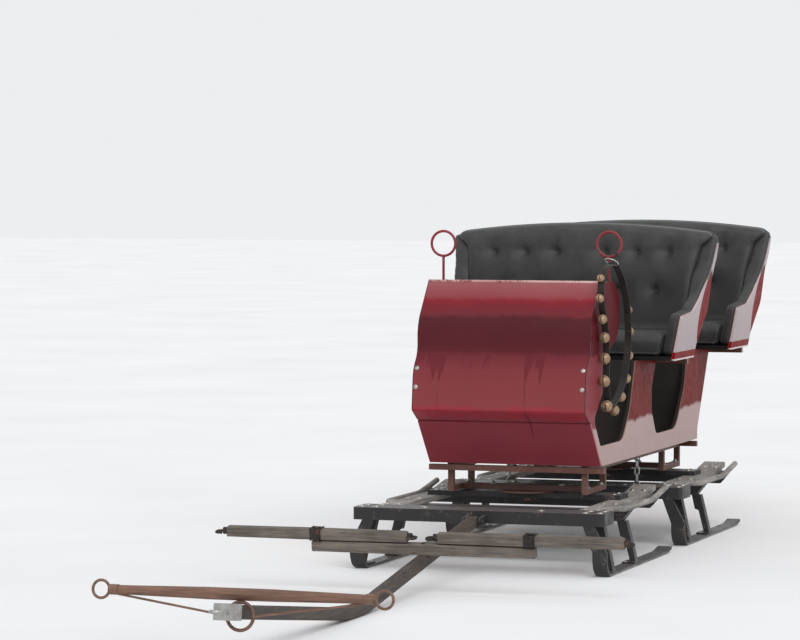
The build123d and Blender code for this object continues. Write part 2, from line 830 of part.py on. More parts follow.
def neck_yoke():
    """Tapered wooden bar lying on the pole by its middle ring, with stays below and a ring at each end."""
    ring_centre_z, bar_z = yoke_heights()
    section = [
        ((-yoke_half, 0), 0),
        ((-yoke_half, yoke_end_radius), 4),
        ((-yoke_half / 4, yoke_radius), yoke_swell_radius),
        ((yoke_half / 4, yoke_radius), yoke_swell_radius),
        ((yoke_half, yoke_end_radius), 4),
        ((yoke_half, 0), 0),
    ]
    yoke = Pos(0, 0, bar_z) * revolve(outline(section), axis=Axis.X)
    yoke += Pos(0, 0, ring_centre_z) * Rot(90, 0, 0) * Torus(pole_ring_radius, pole_ring_wire)
    stay_end = yoke_half - stay_inset
    for side in (-1, 1):
        stay = [(side * pole_ring_radius, 0, ring_centre_z), (side * stay_end, 0, bar_z - yoke_end_radius)]
        yoke += rod(stay, [], stay_radius)
        band_x = side * (stay_end + yoke_ferrule / 2)
        yoke += cylinder((band_x, 0, bar_z), yoke_end_radius + 3, yoke_ferrule, "x")
        x = side * (yoke_half + yoke_ring_radius - 2)
        yoke += Pos(x, 0, bar_z) * Rot(90, 0, 0) * Torus(yoke_ring_radius, yoke_wire)
    return yoke


def limit_chain():
    """Chain of upright oval links from the sill rail to the rear bob's nose bar."""
    top = sill_bottom - eye_radius
    bottom = nose_bar_bottom + nose_bar_height + eye_radius
    step = 2 * link_wire + link_gap
    centre_length = (top - bottom + (chain_links + 1) * step) / chain_links
    pieces = []
    for side in (-1, 1):
        x = side * sill_rail_x
        for z, way in ((top, 1), (bottom, -1)):
            eye = rod(
                [
                    (x - eye_radius, chain_y, z + way * eye_radius),
                    (x - eye_radius, chain_y, z),
                    (x + eye_radius, chain_y, z),
                    (x + eye_radius, chain_y, z + way * eye_radius),
                ],
                [eye_radius * 0.9, eye_radius * 0.9],
                link_wire,
            )
            pieces.append(eye)
        for i in range(chain_links):
            high = top + step - i * (centre_length - step)
            middle = high - centre_length / 2
            half_run = centre_length / 2 - link_half_width
            flat = SlotCenterToCenter(2 * half_run, 2 * link_half_width)
            plane = Plane(origin=(x, chain_y, middle), x_dir=(0, 0, 1),
                          z_dir=(1, 0, 0) if i % 2 == 0 else (0, 1, 0))
            path = (plane * flat).wires()[0]
            start = Plane(origin=path @ 0, z_dir=path % 0)
            pieces.append(sweep(start * Circle(link_wire), path=path))
    nodes["limit_chains"] = Compound(pieces)


def grab_rings():
    """Ring on a short stem on each dash wing."""
    x, y, z = ring_centre
    ring = Pos(x, y, z) * Rot(90, 0, 0) * Torus(ring_radius, ring_wire)
    foot = dash_top[1]
    stem_top = z - ring_radius
    stem = cylinder((x, y, (foot + stem_top) / 2), ring_wire, stem_top - foot, "z")
    nodes["grab_rings"] = twin(ring + stem)


def bell_strap():
    """Strap tied to the left grab ring, with a row of round bells on its outer face."""
    rows = even_radii(strap_path)
    strap = across(band(rows, strap_thickness), strap_x, strap_x + strap_width)
    strap += block((strap_x, strap_x + strap_width), keeper_y, keeper_z)
    line = open_line(rows)
    x = strap_x + strap_width / 2

    # thong from the keeper to a loop round the grab ring's wire, straight above the strap
    ring_x, ring_y, ring_z = ring_centre
    swing = math.asin((x - ring_x) / ring_radius)
    wire = Vector(x, ring_y, ring_z - ring_radius * math.cos(swing))
    tangent = Vector(math.cos(swing), 0, math.sin(swing))
    loop_radius = ring_wire + pad_gap + thong_radius
    loop_gap_end = Vector(x, sum(keeper_y) / 2, keeper_z[1] - thong_radius)
    towards = loop_gap_end - wire
    towards = (towards - tangent * towards.dot(tangent)).normalized() * loop_radius
    start = wire + towards
    strap += Plane(origin=wire, z_dir=tangent) * Torus(loop_radius, thong_radius)
    strap += rod([tuple(start), tuple(loop_gap_end)], [], thong_radius)
    nodes["bell_strap"] = strap
    balls = []
    for share, radius in bells:
        point = line @ share
        tangent = line % share
        out = Vector(tangent.Y, -tangent.X)
        centre = point + out * (radius + 3)
        shank_end = point + out * 0.2
        ball = Pos(x, centre.X, centre.Y) * Sphere(radius)
        shank = rod([(x, shank_end.X, shank_end.Y), (x, centre.X, centre.Y)], [], 4.0)
        balls.append(ball + shank)
    nodes["sleigh_bells"] = Compound(balls)


side_panels()
front_and_rear()
floor()
risers()
seats()
sill_frame()
cradles()
for bob_name in bob_noses:
    bob(bob_name)
pole_and_hitch()
limit_chain()
grab_rings()
bell_strap()

everything = Compound([piece for node in nodes.values() for piece in node.solids()])
box = everything.bounding_box()
middle_y = (box.min.Y + box.max.Y) / 2
os.makedirs("parts", exist_ok=True)
for name, piece in nodes.items():
    solids = [Pos(0, -middle_y, 0) * solid for solid in piece.solids()]
    export_step(solids[0] if len(solids) == 1 else Compound(solids), f"parts/{name}.step")

drop = pole_drop()
print("box", box.min, box.max, "shift", -middle_y)
print("pole drop", math.degrees(drop))
for label, point in {
    "steer": (pivots["front"], 0.0),
    "pole hinge": pole_hinge,
    "evener pivot": lowered_point(-evener_from_hinge, pole_thickness / 2),
    "bend": lowered_point(-pole_straight, 0.0),
}.items():
    print(label, round(point[0] - middle_y, 3), round(point[1], 3))
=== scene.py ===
# Two-seat bob sleigh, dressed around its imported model. Metres, Z up, the pole points along -Y.
import json
import math

import bmesh
import bpy
import numpy as np
from mathutils import Matrix, Vector
from mathutils.bvhtree import BVHTree


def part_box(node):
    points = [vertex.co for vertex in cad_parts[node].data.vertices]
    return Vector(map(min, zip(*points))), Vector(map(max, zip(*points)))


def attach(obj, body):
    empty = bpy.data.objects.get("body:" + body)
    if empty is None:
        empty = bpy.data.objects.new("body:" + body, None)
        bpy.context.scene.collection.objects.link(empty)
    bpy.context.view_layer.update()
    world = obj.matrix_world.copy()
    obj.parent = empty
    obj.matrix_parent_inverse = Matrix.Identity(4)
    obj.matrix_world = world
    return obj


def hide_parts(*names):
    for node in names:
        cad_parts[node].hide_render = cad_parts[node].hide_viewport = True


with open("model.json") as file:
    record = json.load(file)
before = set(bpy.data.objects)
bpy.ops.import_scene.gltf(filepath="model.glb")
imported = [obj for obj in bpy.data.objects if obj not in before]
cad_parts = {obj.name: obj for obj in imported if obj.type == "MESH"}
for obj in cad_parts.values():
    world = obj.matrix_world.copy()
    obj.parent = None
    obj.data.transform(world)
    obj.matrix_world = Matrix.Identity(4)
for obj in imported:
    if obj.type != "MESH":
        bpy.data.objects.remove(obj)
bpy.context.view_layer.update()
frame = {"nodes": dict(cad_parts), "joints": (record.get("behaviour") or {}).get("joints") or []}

nodes = frame["nodes"]
leftward, rearward, upward = Vector((1, 0, 0)), Vector((0, 1, 0)), Vector((0, 0, 1))
# lengths along the sleigh start at the front bob's nose
bolsterLow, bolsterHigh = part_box("front_bolster")
noseY = (bolsterLow.y + bolsterHigh.y) / 2 - 0.720
print("loaded", len(nodes), "nodes, nose at", round(noseY, 4))


def toLinear(value):  # hex text gives a linear colour; anything else stays as it is
    if not (isinstance(value, str) and value.startswith("#")):
        return value
    parts = [int(value[i:i + 2], 16) / 255 for i in (1, 3, 5)]
    return tuple(p / 12.92 if p <= 0.04045 else ((p + 0.055) / 1.055) ** 2.4 for p in parts) + (1.0,)


def perMetre(millimetres):  # texture scale that gives features of this size
    return 1000.0 / millimetres


def clamped(value):
    return min(max(value, 0.0), 1.0)


def plug(tree, node, inputs):
    # each socket takes a value, a hex colour, another node's output or another node, for its first live output
    for key, value in inputs.items():
        if isinstance(value, bpy.types.Node):
            value = next(output for output in value.outputs if output.enabled)
        if isinstance(value, bpy.types.NodeSocket):
            tree.links.new(value, node.inputs[key])
        else:
            node.inputs[key].default_value = toLinear(value)


def addNode(tree, kind, inputs=None, stops=(), **settings):
    node = tree.nodes.new(kind)
    for key, value in settings.items():
        setattr(node, key, value)
    plug(tree, node, inputs or {})
    if stops:
        elements = node.color_ramp.elements
        while len(elements) < len(stops):
            elements.new(0.5)
        for element, (position, tone) in zip(elements, stops):
            element.position = position
            element.color = toLinear(tone)
    return node


def newMaterial(name):
    material = bpy.data.materials.new(name)
    material.use_nodes = True
    tree = material.node_tree
    tree.nodes.clear()
    shader = addNode(tree, "ShaderNodeBsdfPrincipled")
    addNode(tree, "ShaderNodeOutputMaterial", {"Surface": shader})
    place = addNode(tree, "ShaderNodeTexCoord").outputs["Object"]
    return material, tree, shader, place


def smoothed(piece, smooth=True):
    piece.data.polygons.foreach_set("use_smooth", [smooth] * len(piece.data.polygons))


def meshPiece(name, points, faces, material, body, smooth=True):
    mesh = bpy.data.meshes.new(name)
    mesh.from_pydata([tuple(p) for p in points], [], faces)
    mesh.update()
    piece = bpy.data.objects.new(name, mesh)
    bpy.context.scene.collection.objects.link(piece)
    mesh.materials.append(material)
    smoothed(piece, smooth)
    if body:
        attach(piece, body)
    return piece


def outward(piece):  # merges doubles and points every face out of the closed form
    work = bmesh.new()
    work.from_mesh(piece.data)
    bmesh.ops.remove_doubles(work, verts=work.verts, dist=1e-5)
    bmesh.ops.recalc_face_normals(work, faces=work.faces)
    work.to_mesh(piece.data)
    work.free()
    piece.data.update()
    return piece


def meshCopy(node):
    piece = bpy.data.objects.new(node + "Copy", nodes[node].data.copy())
    bpy.context.scene.collection.objects.link(piece)
    piece.data.materials.clear()
    return outward(piece)


def surfaceOf(piece):
    mesh = piece.data
    mesh.calc_loop_triangles()
    return BVHTree.FromPolygons([v.co.copy() for v in mesh.vertices],
                                [t.vertices[:] for t in mesh.loop_triangles])


def applyModifiers(piece):
    bpy.context.view_layer.update()
    graph = bpy.context.evaluated_depsgraph_get()
    made = bpy.data.meshes.new_from_object(piece.evaluated_get(graph))
    piece.modifiers.clear()
    old = piece.data
    piece.data = made
    bpy.data.meshes.remove(old)
    return piece


def sweptTube(name, path, radius, material, body, closed=False, sides=10):
    # round bar along a list of points, with capped ends
    path = [Vector(p) for p in path]
    count = len(path)
    points, faces = [], []
    side = None
    for i, centre in enumerate(path):
        before = path[i - 1] if (closed or i > 0) else centre
        after = path[(i + 1) % count] if (closed or i < count - 1) else centre
        tangent = (after - before).normalized()
        if side is None:
            side = upward if abs(tangent.z) < 0.9 else leftward
        side = (side - tangent * side.dot(tangent)).normalized()
        other = tangent.cross(side)
        for k in range(sides):
            angle = 2 * math.pi * k / sides
            points.append(centre + side * math.cos(angle) * radius + other * math.sin(angle) * radius)
    for i in range(count if closed else count - 1):
        a, b = i * sides, ((i + 1) % count) * sides
        for k in range(sides):
            faces.append((a + k, a + (k + 1) % sides, b + (k + 1) % sides, b + k))
    if not closed:
        faces.append(tuple(range(sides))[::-1])
        faces.append(tuple(range((count - 1) * sides, count * sides)))
    return outward(meshPiece(name, points, faces, material, body))


# camera, light and floor
view = {
    "place": (4.2581, -13.6676, 1.6),
    "turn": (90 - 2.3065, 0.0, 18.42),
    "lens": 162.0,
    "floor": "#e9eaec",
    "floorLight": "#eff0f1",
    "floorReach": 70.0,
    "backdrop": "#eceef0",
    "skyLight": 0.76,
    "sunStrength": 1.35,
    "sunSpread": 48.0,
    "sunFrom": (3.4, -6.0, 6.6),
}
scene = bpy.context.scene
scene.view_settings.view_transform = "Standard"
cameraData = bpy.data.cameras.new("camera")
cameraData.lens = view["lens"]
cameraData.sensor_width = 36.0
cameraData.clip_end = 200.0
camera = bpy.data.objects.new("camera", cameraData)
scene.collection.objects.link(camera)
camera.location = view["place"]
camera.rotation_euler = [math.radians(a) for a in view["turn"]]
scene.camera = camera

world = bpy.data.worlds.new("studio")
scene.world = world
world.use_nodes = True
sky = world.node_tree
sky.nodes.clear()
ray = addNode(sky, "ShaderNodeLightPath").outputs
direct = addNode(sky, "ShaderNodeMath", {0: ray["Is Camera Ray"], 1: ray["Is Glossy Ray"]}, operation="MAXIMUM")
seen = addNode(sky, "ShaderNodeMath", {0: direct, 1: ray["Is Transmission Ray"]}, operation="MAXIMUM")
lightSky = addNode(sky, "ShaderNodeBackground", {"Color": (1.0, 1.0, 1.0, 1.0), "Strength": view["skyLight"]})
seenSky = addNode(sky, "ShaderNodeBackground", {"Color": view["backdrop"], "Strength": 1.0})
skyMix = addNode(sky, "ShaderNodeMixShader", {0: seen, 1: lightSky, 2: seenSky})
addNode(sky, "ShaderNodeOutputWorld", {"Surface": skyMix})

sunData = bpy.data.lights.new("key", "SUN")
sunData.energy = view["sunStrength"]
sunData.angle = math.radians(view["sunSpread"])
sun = bpy.data.objects.new("key", sunData)
scene.collection.objects.link(sun)
sun.rotation_euler = (-Vector(view["sunFrom"])).to_track_quat("-Z", "Y").to_euler()

# painted studio floor, matt and faintly mottled
floorMaterial, tree, shader, place = newMaterial("paleFloor")
mottle = addNode(tree, "ShaderNodeTexNoise", {"Vector": place, "Scale": 0.7, "Detail": 3.0})
tone = addNode(tree, "ShaderNodeValToRGB", {0: mottle}, stops=[(0.3, view["floor"]), (0.7, view["floorLight"])])
plug(tree, shader, {"Base Color": tone, "Roughness": 0.9, "Specular IOR Level": 0.1})
corners = [(x * view["floorReach"], y * view["floorReach"], 0) for x, y in ((-1, -1), (1, -1), (1, 1), (-1, 1))]
floor = meshPiece("floor", corners, [(0, 1, 2, 3)], floorMaterial, None, smooth=False)
print("camera, light and floor")


# enamel with nothing on it; each finish below changes what it needs
plainEnamel = {
    "fade": 0.8, "dustAndReflection": 0.0, "dustAndReflectionTone": "#6d6a69", "dustAndReflectionLow": 0.1, "dustAndReflectionHigh": 0.2, "raggedness": 0.01,
    "rough": (0.3, 0.5), "peel": 0.1, "wave": 0.0, "coat": 0.0, "coatRough": 0.1, "coatIor": 1.5,
    "specular": 0.35, "dust": 0.0, "runs": 0.0, "runsFrom": 1.0, "runsTo": 0.5, "runTone": "#3a1418",
    "aft": 99.0, "aftTone": "#ffffff",
}


def enamelPaint(name, look):
    look = {**plainEnamel, **look}
    material, tree, shader, place = newMaterial(name)
    parts = addNode(tree, "ShaderNodeSeparateXYZ", {0: place}).outputs
    normal = addNode(tree, "ShaderNodeNewGeometry").outputs["Normal"]
    facing = addNode(tree, "ShaderNodeSeparateXYZ", {0: normal}).outputs["Z"]
    # noise over the surface: size in millimetres, detail, roughness and distortion; orange peel of sprayed
    # enamel is about 3 mm across, with a faint long wave below it
    fields = {"ragged": (110, 7.0, 0.62, 0.0), "patches": (380, 5.0, 0.55, 0.0),
              "clusters": (70, 2.0, 0.5, 0.0), "specks": (5, 3.0, 0.5, 0.0), "smears": (45, 6.0, 0.5, 0.6),
              "peel": (3, 1.0, 0.5, 0.0), "wave": (160, 1.0, 0.5, 0.0)}
    noise = {}
    for field, (size, detail, rough, twist) in fields.items():
        noise[field] = addNode(tree, "ShaderNodeTexNoise", {"Vector": place, "Scale": perMetre(size),
                                                            "Detail": detail, "Roughness": rough,
                                                            "Distortion": twist})
    edge = addNode(tree, "ShaderNodeMapRange", {"Value": noise["ragged"], "From Min": 0.3, "From Max": 0.7,
                                                "To Min": -look["raggedness"], "To Max": look["raggedness"]})
    level = addNode(tree, "ShaderNodeMath", {0: parts["Z"], 1: edge}, operation="ADD")
    # tones that follow the height: painted highlight and painted shade on the dash sheet and its bead, wear and
    # splashes on other finishes
    low, high = look["bands"][0][0], look["bands"][-1][0]
    share = addNode(tree, "ShaderNodeMapRange", {"Value": level, "From Min": low, "From Max": high})
    tone = addNode(tree, "ShaderNodeValToRGB", {0: share},
                   stops=[((z - low) / (high - low), band) for z, band in look["bands"]])
    faded = addNode(tree, "ShaderNodeMapRange", {"Value": noise["patches"], "From Min": 0.36, "From Max": 0.68,
                                                 "To Max": look["fade"]})
    # the columns behind the first door keep a deeper tone
    aft = addNode(tree, "ShaderNodeMath", {0: parts["Y"], 1: look["aft"]}, operation="GREATER_THAN")
    # a pale film of dust, thickest low down, with a ragged upper edge; on the tub's red boards this pale band
    # is a painted reflection of the bright ground
    dustAndReflection = addNode(tree, "ShaderNodeMapRange", {"Value": level, "From Min": look["dustAndReflectionLow"], "To Max": 0.0,
                                                "From Max": look["dustAndReflectionHigh"], "To Min": look["dustAndReflection"]})
    # grit that dries on whatever faces upwards
    dust = addNode(tree, "ShaderNodeMapRange", {"Value": facing, "From Min": 0.80, "From Max": 0.97,
                                                "To Max": look["dust"]})
    # dirty runs that melt water leaves below a height, a hand's breadth long and about 15 mm wide
    drawn = addNode(tree, "ShaderNodeMapping", {"Vector": place, "Scale": (1.0, 0.05, 0.05)})
    streaks = addNode(tree, "ShaderNodeTexNoise", {"Vector": drawn, "Scale": perMetre(34), "Detail": 3.0})
    reach = addNode(tree, "ShaderNodeMapRange", {"Value": parts["Z"], "From Min": look["runsTo"],
                                                 "From Max": look["runsFrom"], "To Min": 0.17, "To Max": 0.0})
    start = addNode(tree, "ShaderNodeMath", {0: parts["Z"], 1: look["runsFrom"]}, operation="LESS_THAN")
    narrowed = addNode(tree, "ShaderNodeMath", {0: streaks, 1: reach}, operation="SUBTRACT")
    full = addNode(tree, "ShaderNodeMapRange", {"Value": narrowed, "From Min": 0.525, "From Max": 0.555,
                                                "To Max": look["runs"]})
    runs = addNode(tree, "ShaderNodeMath", {0: full, 1: start}, operation="MULTIPLY")
    # small chips down to the primer, in clusters
    both = addNode(tree, "ShaderNodeMath", {0: noise["clusters"], 1: noise["specks"]}, operation="MULTIPLY")
    chips = addNode(tree, "ShaderNodeMapRange", {"Value": both, "From Min": look["chipFrom"],
                                                 "From Max": look["chipFrom"] + 0.02})
    for share, over, blend in ((faded, "faded", "MIX"), (aft, "aftTone", "MULTIPLY"), (dustAndReflection, "dustAndReflectionTone", "MIX"),
                               (dust, "dustAndReflectionTone", "MIX"), (runs, "runTone", "MIX"), (chips, "chip", "MIX")):
        tone = addNode(tree, "ShaderNodeMix", {0: share, 6: tone, 7: look[over]}, data_type="RGBA",
                       blend_type=blend)
    dull = addNode(tree, "ShaderNodeMapRange", {"Value": noise["smears"], "From Min": 0.3, "From Max": 0.7,
                                                "To Min": look["rough"][0], "To Max": look["rough"][1]})
    duller = addNode(tree, "ShaderNodeMath", {0: dull, 1: chips}, operation="MAXIMUM")
    fine = addNode(tree, "ShaderNodeBump", {"Height": noise["peel"], "Strength": look["peel"],
                                            "Distance": 0.0004})
    slow = addNode(tree, "ShaderNodeBump", {"Height": noise["wave"], "Strength": look["wave"],
                                            "Distance": 0.004, "Normal": fine})
    plug(tree, shader, {"Base Color": tone, "Roughness": duller, "Normal": slow, "Coat Weight": look["coat"],
                        "Coat Roughness": look["coatRough"], "Coat IOR": look["coatIor"],
                        "Specular IOR Level": look["specular"]})
    return material


def weatheredWood(name, look):
    material, tree, shader, place = newMaterial(name)
    stretch = {"X": (0.045, 1.0, 1.0), "Y": (1.0, 0.045, 1.0)}[look["grain"]]
    along = addNode(tree, "ShaderNodeMapping", {"Vector": place, "Scale": stretch})
    # growth rings 8 to 10 mm apart, drawn out along the board
    rings = addNode(tree, "ShaderNodeTexNoise", {"Vector": along, "Scale": perMetre(look["ring"]),
                                                 "Detail": 6.0, "Roughness": 0.62, "Distortion": 0.5})
    tone = addNode(tree, "ShaderNodeValToRGB", {0: rings},
                   stops=[(0.30, look["dark"]), (0.52, look["base"]), (0.72, look["light"])])
    patches = addNode(tree, "ShaderNodeTexNoise", {"Vector": place, "Scale": perMetre(150), "Detail": 5.0})
    stain = addNode(tree, "ShaderNodeMapRange", {"Value": patches, "From Min": 0.42, "From Max": 0.66,
                                                 "To Max": look["stain"]})
    # drying cracks, a millimetre or two wide
    cracks = addNode(tree, "ShaderNodeTexNoise", {"Vector": along, "Scale": perMetre(4.5), "Detail": 3.0,
                                                  "Roughness": 0.7})
    crackShare = addNode(tree, "ShaderNodeMapRange", {"Value": cracks, "From Min": 0.62, "From Max": 0.70})
    for share, over in ((stain, "stainTone"), (crackShare, "crack")):
        tone = addNode(tree, "ShaderNodeMix", {0: share, 6: tone, 7: look[over]}, data_type="RGBA")
    low, high = look["rough"]
    dull = addNode(tree, "ShaderNodeMapRange", {"Value": rings, "To Min": high, "To Max": low})
    relief = addNode(tree, "ShaderNodeMath", {0: rings, 1: crackShare}, operation="SUBTRACT")
    bump = addNode(tree, "ShaderNodeBump", {"Height": relief, "Strength": look["relief"], "Distance": 0.0012})
    plug(tree, shader, {"Base Color": tone, "Roughness": dull, "Normal": bump,
                        "Coat Weight": look.get("coat", 0.0)})
    return material


def barSteel(name, look):
    material, tree, shader, place = newMaterial(name)
    patches = addNode(tree, "ShaderNodeTexNoise", {"Vector": place, "Scale": perMetre(look["patch"]),
                                                   "Detail": 6.0, "Roughness": 0.65})
    tone = addNode(tree, "ShaderNodeValToRGB", {0: patches},
                   stops=[(0.35, look["base"]), (0.70, look["light"])])
    rust = addNode(tree, "ShaderNodeTexNoise", {"Vector": place, "Scale": perMetre(28), "Detail": 8.0,
                                                "Roughness": 0.7, "Distortion": 0.4})
    rustShare = addNode(tree, "ShaderNodeMapRange", {"Value": rust, "From Min": look["rustFrom"],
                                                     "From Max": look["rustFrom"] + 0.08,
                                                     "To Max": look["rust"]})
    rusty = addNode(tree, "ShaderNodeMix", {0: rustShare, 6: tone, 7: look["rustTone"]}, data_type="RGBA")
    bare = addNode(tree, "ShaderNodeMath", {0: 1.0, 1: rustShare}, operation="SUBTRACT")
    shine = addNode(tree, "ShaderNodeMath", {0: bare, 1: look["metal"]}, operation="MULTIPLY")
    low, high = look["rough"]
    dull = addNode(tree, "ShaderNodeMapRange", {"Value": rust, "From Min": 0.3, "From Max": 0.7,
                                                "To Min": low, "To Max": high})
    scale = addNode(tree, "ShaderNodeTexNoise", {"Vector": place, "Scale": perMetre(look["pit"]),
                                                 "Detail": 4.0})
    bump = addNode(tree, "ShaderNodeBump", {"Height": scale, "Strength": look["relief"], "Distance": 0.0008})
    plug(tree, shader, {"Base Color": rusty, "Metallic": shine, "Roughness": dull, "Normal": bump})
    return material


def grainedSkin(name, look):
    material, tree, shader, place = newMaterial(name)
    # leather grain of pressed vinyl is about 1 mm; drawn at 2 mm and more so that it shows
    cells = addNode(tree, "ShaderNodeTexVoronoi", {"Vector": place, "Scale": perMetre(look["cell"])},
                    feature="DISTANCE_TO_EDGE")
    wear = addNode(tree, "ShaderNodeTexNoise", {"Vector": place, "Scale": perMetre(60), "Detail": 7.0,
                                                "Roughness": 0.6})
    tone = addNode(tree, "ShaderNodeValToRGB", {0: wear}, stops=[(0.34, look["base"]), (0.66, look["worn"])])
    furrow = addNode(tree, "ShaderNodeMapRange", {"Value": cells, "From Max": 0.16, "To Min": look["furrow"]})
    # lighter on top and darker low on the back: painted highlight and painted shade by height, with some
    # sun-greying on top
    height = addNode(tree, "ShaderNodeSeparateXYZ", {0: place}).outputs["Z"]
    low, high = look["greyingAndShade"][0][0], look["greyingAndShade"][-1][0]
    lift = addNode(tree, "ShaderNodeMapRange", {"Value": height, "From Min": low, "From Max": high})
    greyingAndShade = addNode(tree, "ShaderNodeValToRGB", {0: lift},
                      stops=[((z - low) / (high - low), (v, v, v, 1.0)) for z, v in look["greyingAndShade"]])
    for field in (furrow, greyingAndShade):
        tone = addNode(tree, "ShaderNodeMix", {0: 1.0, 6: tone, 7: field}, data_type="RGBA",
                       blend_type="MULTIPLY")
    # dirt and shade drawn into the button pits
    pits = addNode(tree, "ShaderNodeAttribute", attribute_name="pit").outputs["Fac"]
    pitted = addNode(tree, "ShaderNodeMix", {0: pits, 6: tone, 7: "#0b0b0b"}, data_type="RGBA")
    low, high = look["rough"]
    dull = addNode(tree, "ShaderNodeMapRange", {"Value": wear, "From Min": 0.3, "From Max": 0.7,
                                                "To Min": low, "To Max": high})
    fine = addNode(tree, "ShaderNodeBump", {"Height": furrow, "Strength": look["relief"], "Distance": 0.0006})
    creases = addNode(tree, "ShaderNodeTexNoise", {"Vector": place, "Scale": perMetre(34), "Detail": 3.0,
                                                   "Distortion": 1.2})
    soft = addNode(tree, "ShaderNodeBump", {"Height": creases, "Strength": look["crease"], "Distance": 0.004,
                                            "Normal": fine})
    plug(tree, shader, {"Base Color": pitted, "Roughness": dull, "Normal": soft, "Sheen Weight": look["sheen"],
                        "Sheen Roughness": 0.4, "Specular IOR Level": look["specular"]})
    return material


# carriage enamel over sheet steel, its height tones painted light and shade: a pale rose painted highlight on
# the upper roll and a bright red one on the belt under it, dark crimson painted shade in the hollow, a paler
# mid red below as painted reflection of the ground, with dirty runs, and a deep red kick board
dashLook = {
    "bands": [(0.40, "#8f3841"), (0.59, "#8c353f"), (0.615, "#a32035"), (0.66, "#83373b"), (0.75, "#813438"),
              (0.855, "#671d26"), (0.875, "#520d18"), (1.01, "#480b15"), (1.028, "#681b25"), (1.062, "#6f1420"),
              (1.082, "#7f101f"), (1.10, "#8a3c42"), (1.16, "#94565a")],
    "faded": "#64202a", "fade": 0.14, "raggedness": 0.009, "chip": "#4a2a28", "chipFrom": 0.47,
    "rough": (0.28, 0.44), "peel": 0.08, "wave": 0.20, "coat": 0.10, "coatRough": 0.12, "coatIor": 1.4,
    "specular": 0.22, "runs": 0.75, "runsFrom": 0.864, "runsTo": 0.745, "runTone": "#5f0f1c",
}
# the same enamel on the tub's boards: red columns above a ragged pale band low down, a painted reflection of
# the bright ground
sideLook = {
    "bands": [(0.40, "#70202a"), (0.60, "#8f4549"), (0.85, "#883f45"), (0.875, "#561c23"), (1.08, "#551a21"),
              (1.16, "#66232a")],
    "faded": "#6b2831", "fade": 0.3, "dustAndReflectionTone": "#b6a09d", "dustAndReflection": 0.92, "dustAndReflectionLow": 0.554, "dustAndReflectionHigh": 0.568,
    "raggedness": 0.011, "chip": "#4a2a28", "chipFrom": 0.46, "rough": (0.30, 0.46), "peel": 0.08, "wave": 0.12,
    "specular": 0.025, "aft": noseY + 0.95, "aftTone": "#cc7460",
}
enamelLooks = {
    "dashEnamel": dashLook,
    # satin black inside the tub
    "blackEnamel": {"bands": [(0.40, "#43403e"), (0.80, "#2f2c2b")], "faded": "#373433", "dustAndReflectionTone": "#5f5b58",
                    "dustAndReflection": 0.35, "dustAndReflectionLow": 0.40, "dustAndReflectionHigh": 0.56, "raggedness": 0.05, "chip": "#4b4038",
                    "chipFrom": 0.45, "rough": (0.35, 0.55), "peel": 0.15, "wave": 0.10, "specular": 0.4},
    # dark red chassis enamel, worn to brown where feet rub
    "chassisEnamel": {"bands": [(0.26, "#63423a"), (0.40, "#583731")], "faded": "#714d44",
                      "dustAndReflectionTone": "#80695f", "dustAndReflection": 0.30, "dustAndReflectionLow": 0.29, "dustAndReflectionHigh": 0.37,
                      "raggedness": 0.05, "chip": "#8b6d5b", "chipFrom": 0.37, "rough": (0.40, 0.6),
                      "peel": 0.25, "specular": 0.3},
    # black bob enamel over channel steel: scoured bright at the sole, scuffed and dusty above
    "bobEnamel": {"bands": [(0.0, "#8b8987"), (0.007, "#6d6967"), (0.012, "#212021"), (0.14, "#222122"),
                            (0.30, "#272628")],
                  "faded": "#2f2e2f", "dustAndReflection": 0.05, "dust": 0.5, "dustAndReflectionLow": 0.02, "dustAndReflectionHigh": 0.12,
                  "raggedness": 0.004, "chip": "#6a625c", "chipFrom": 0.375, "rough": (0.35, 0.62),
                  "peel": 0.30, "wave": 0.05, "specular": 0.4},
    # the dash's rolled upper edge in pale rose: a painted highlight where the roll faces the sky
    "beadEnamel": {"bands": [(1.10, "#c99a99"), (1.17, "#d2a9a7")], "faded": "#a5706a", "chip": "#7b3a3f",
                   "chipFrom": 0.30, "coat": 0.1},
    # red enamel on the grab rings
    "ringEnamel": {"bands": [(1.15, "#7a1c27"), (1.37, "#8a1f2b")], "faded": "#7a2b33", "fade": 0.7,
                   "chip": "#5b3a34", "chipFrom": 0.40, "coat": 0.1},
}
woodLooks = {
    # hardwood planks gone silver grey outdoors: open grain and dark drying cracks
    "greyPlank": {"grain": "Y", "ring": 9, "dark": "#6b6863", "base": "#98948f", "light": "#b9b6b1",
                  "stain": 0.45, "stainTone": "#4b4846", "crack": "#252321", "rough": (0.7, 0.9),
                  "relief": 0.6},
    # ash draught bars, weathered but handled
    "greyBar": {"grain": "X", "ring": 8, "dark": "#4c453f", "base": "#6b625a", "light": "#857b70",
                "stain": 0.5, "stainTone": "#3d3733", "crack": "#231f1d", "rough": (0.6, 0.85), "relief": 0.5},
    # the pole: ash darkened by oil and dirt
    "poleAsh": {"grain": "Y", "ring": 10, "dark": "#2c2622", "base": "#453c35", "light": "#5d5248",
                "stain": 0.5, "stainTone": "#2b2826", "crack": "#171412", "rough": (0.55, 0.8), "relief": 0.5},
    # oiled hickory of the neck yoke
    "yokeHickory": {"grain": "X", "ring": 8, "dark": "#54392a", "base": "#775645", "light": "#93705a",
                    "stain": 0.35, "stainTone": "#4b3427", "crack": "#2c1d15", "rough": (0.4, 0.65),
                    "relief": 0.35, "coat": 0.1},
}
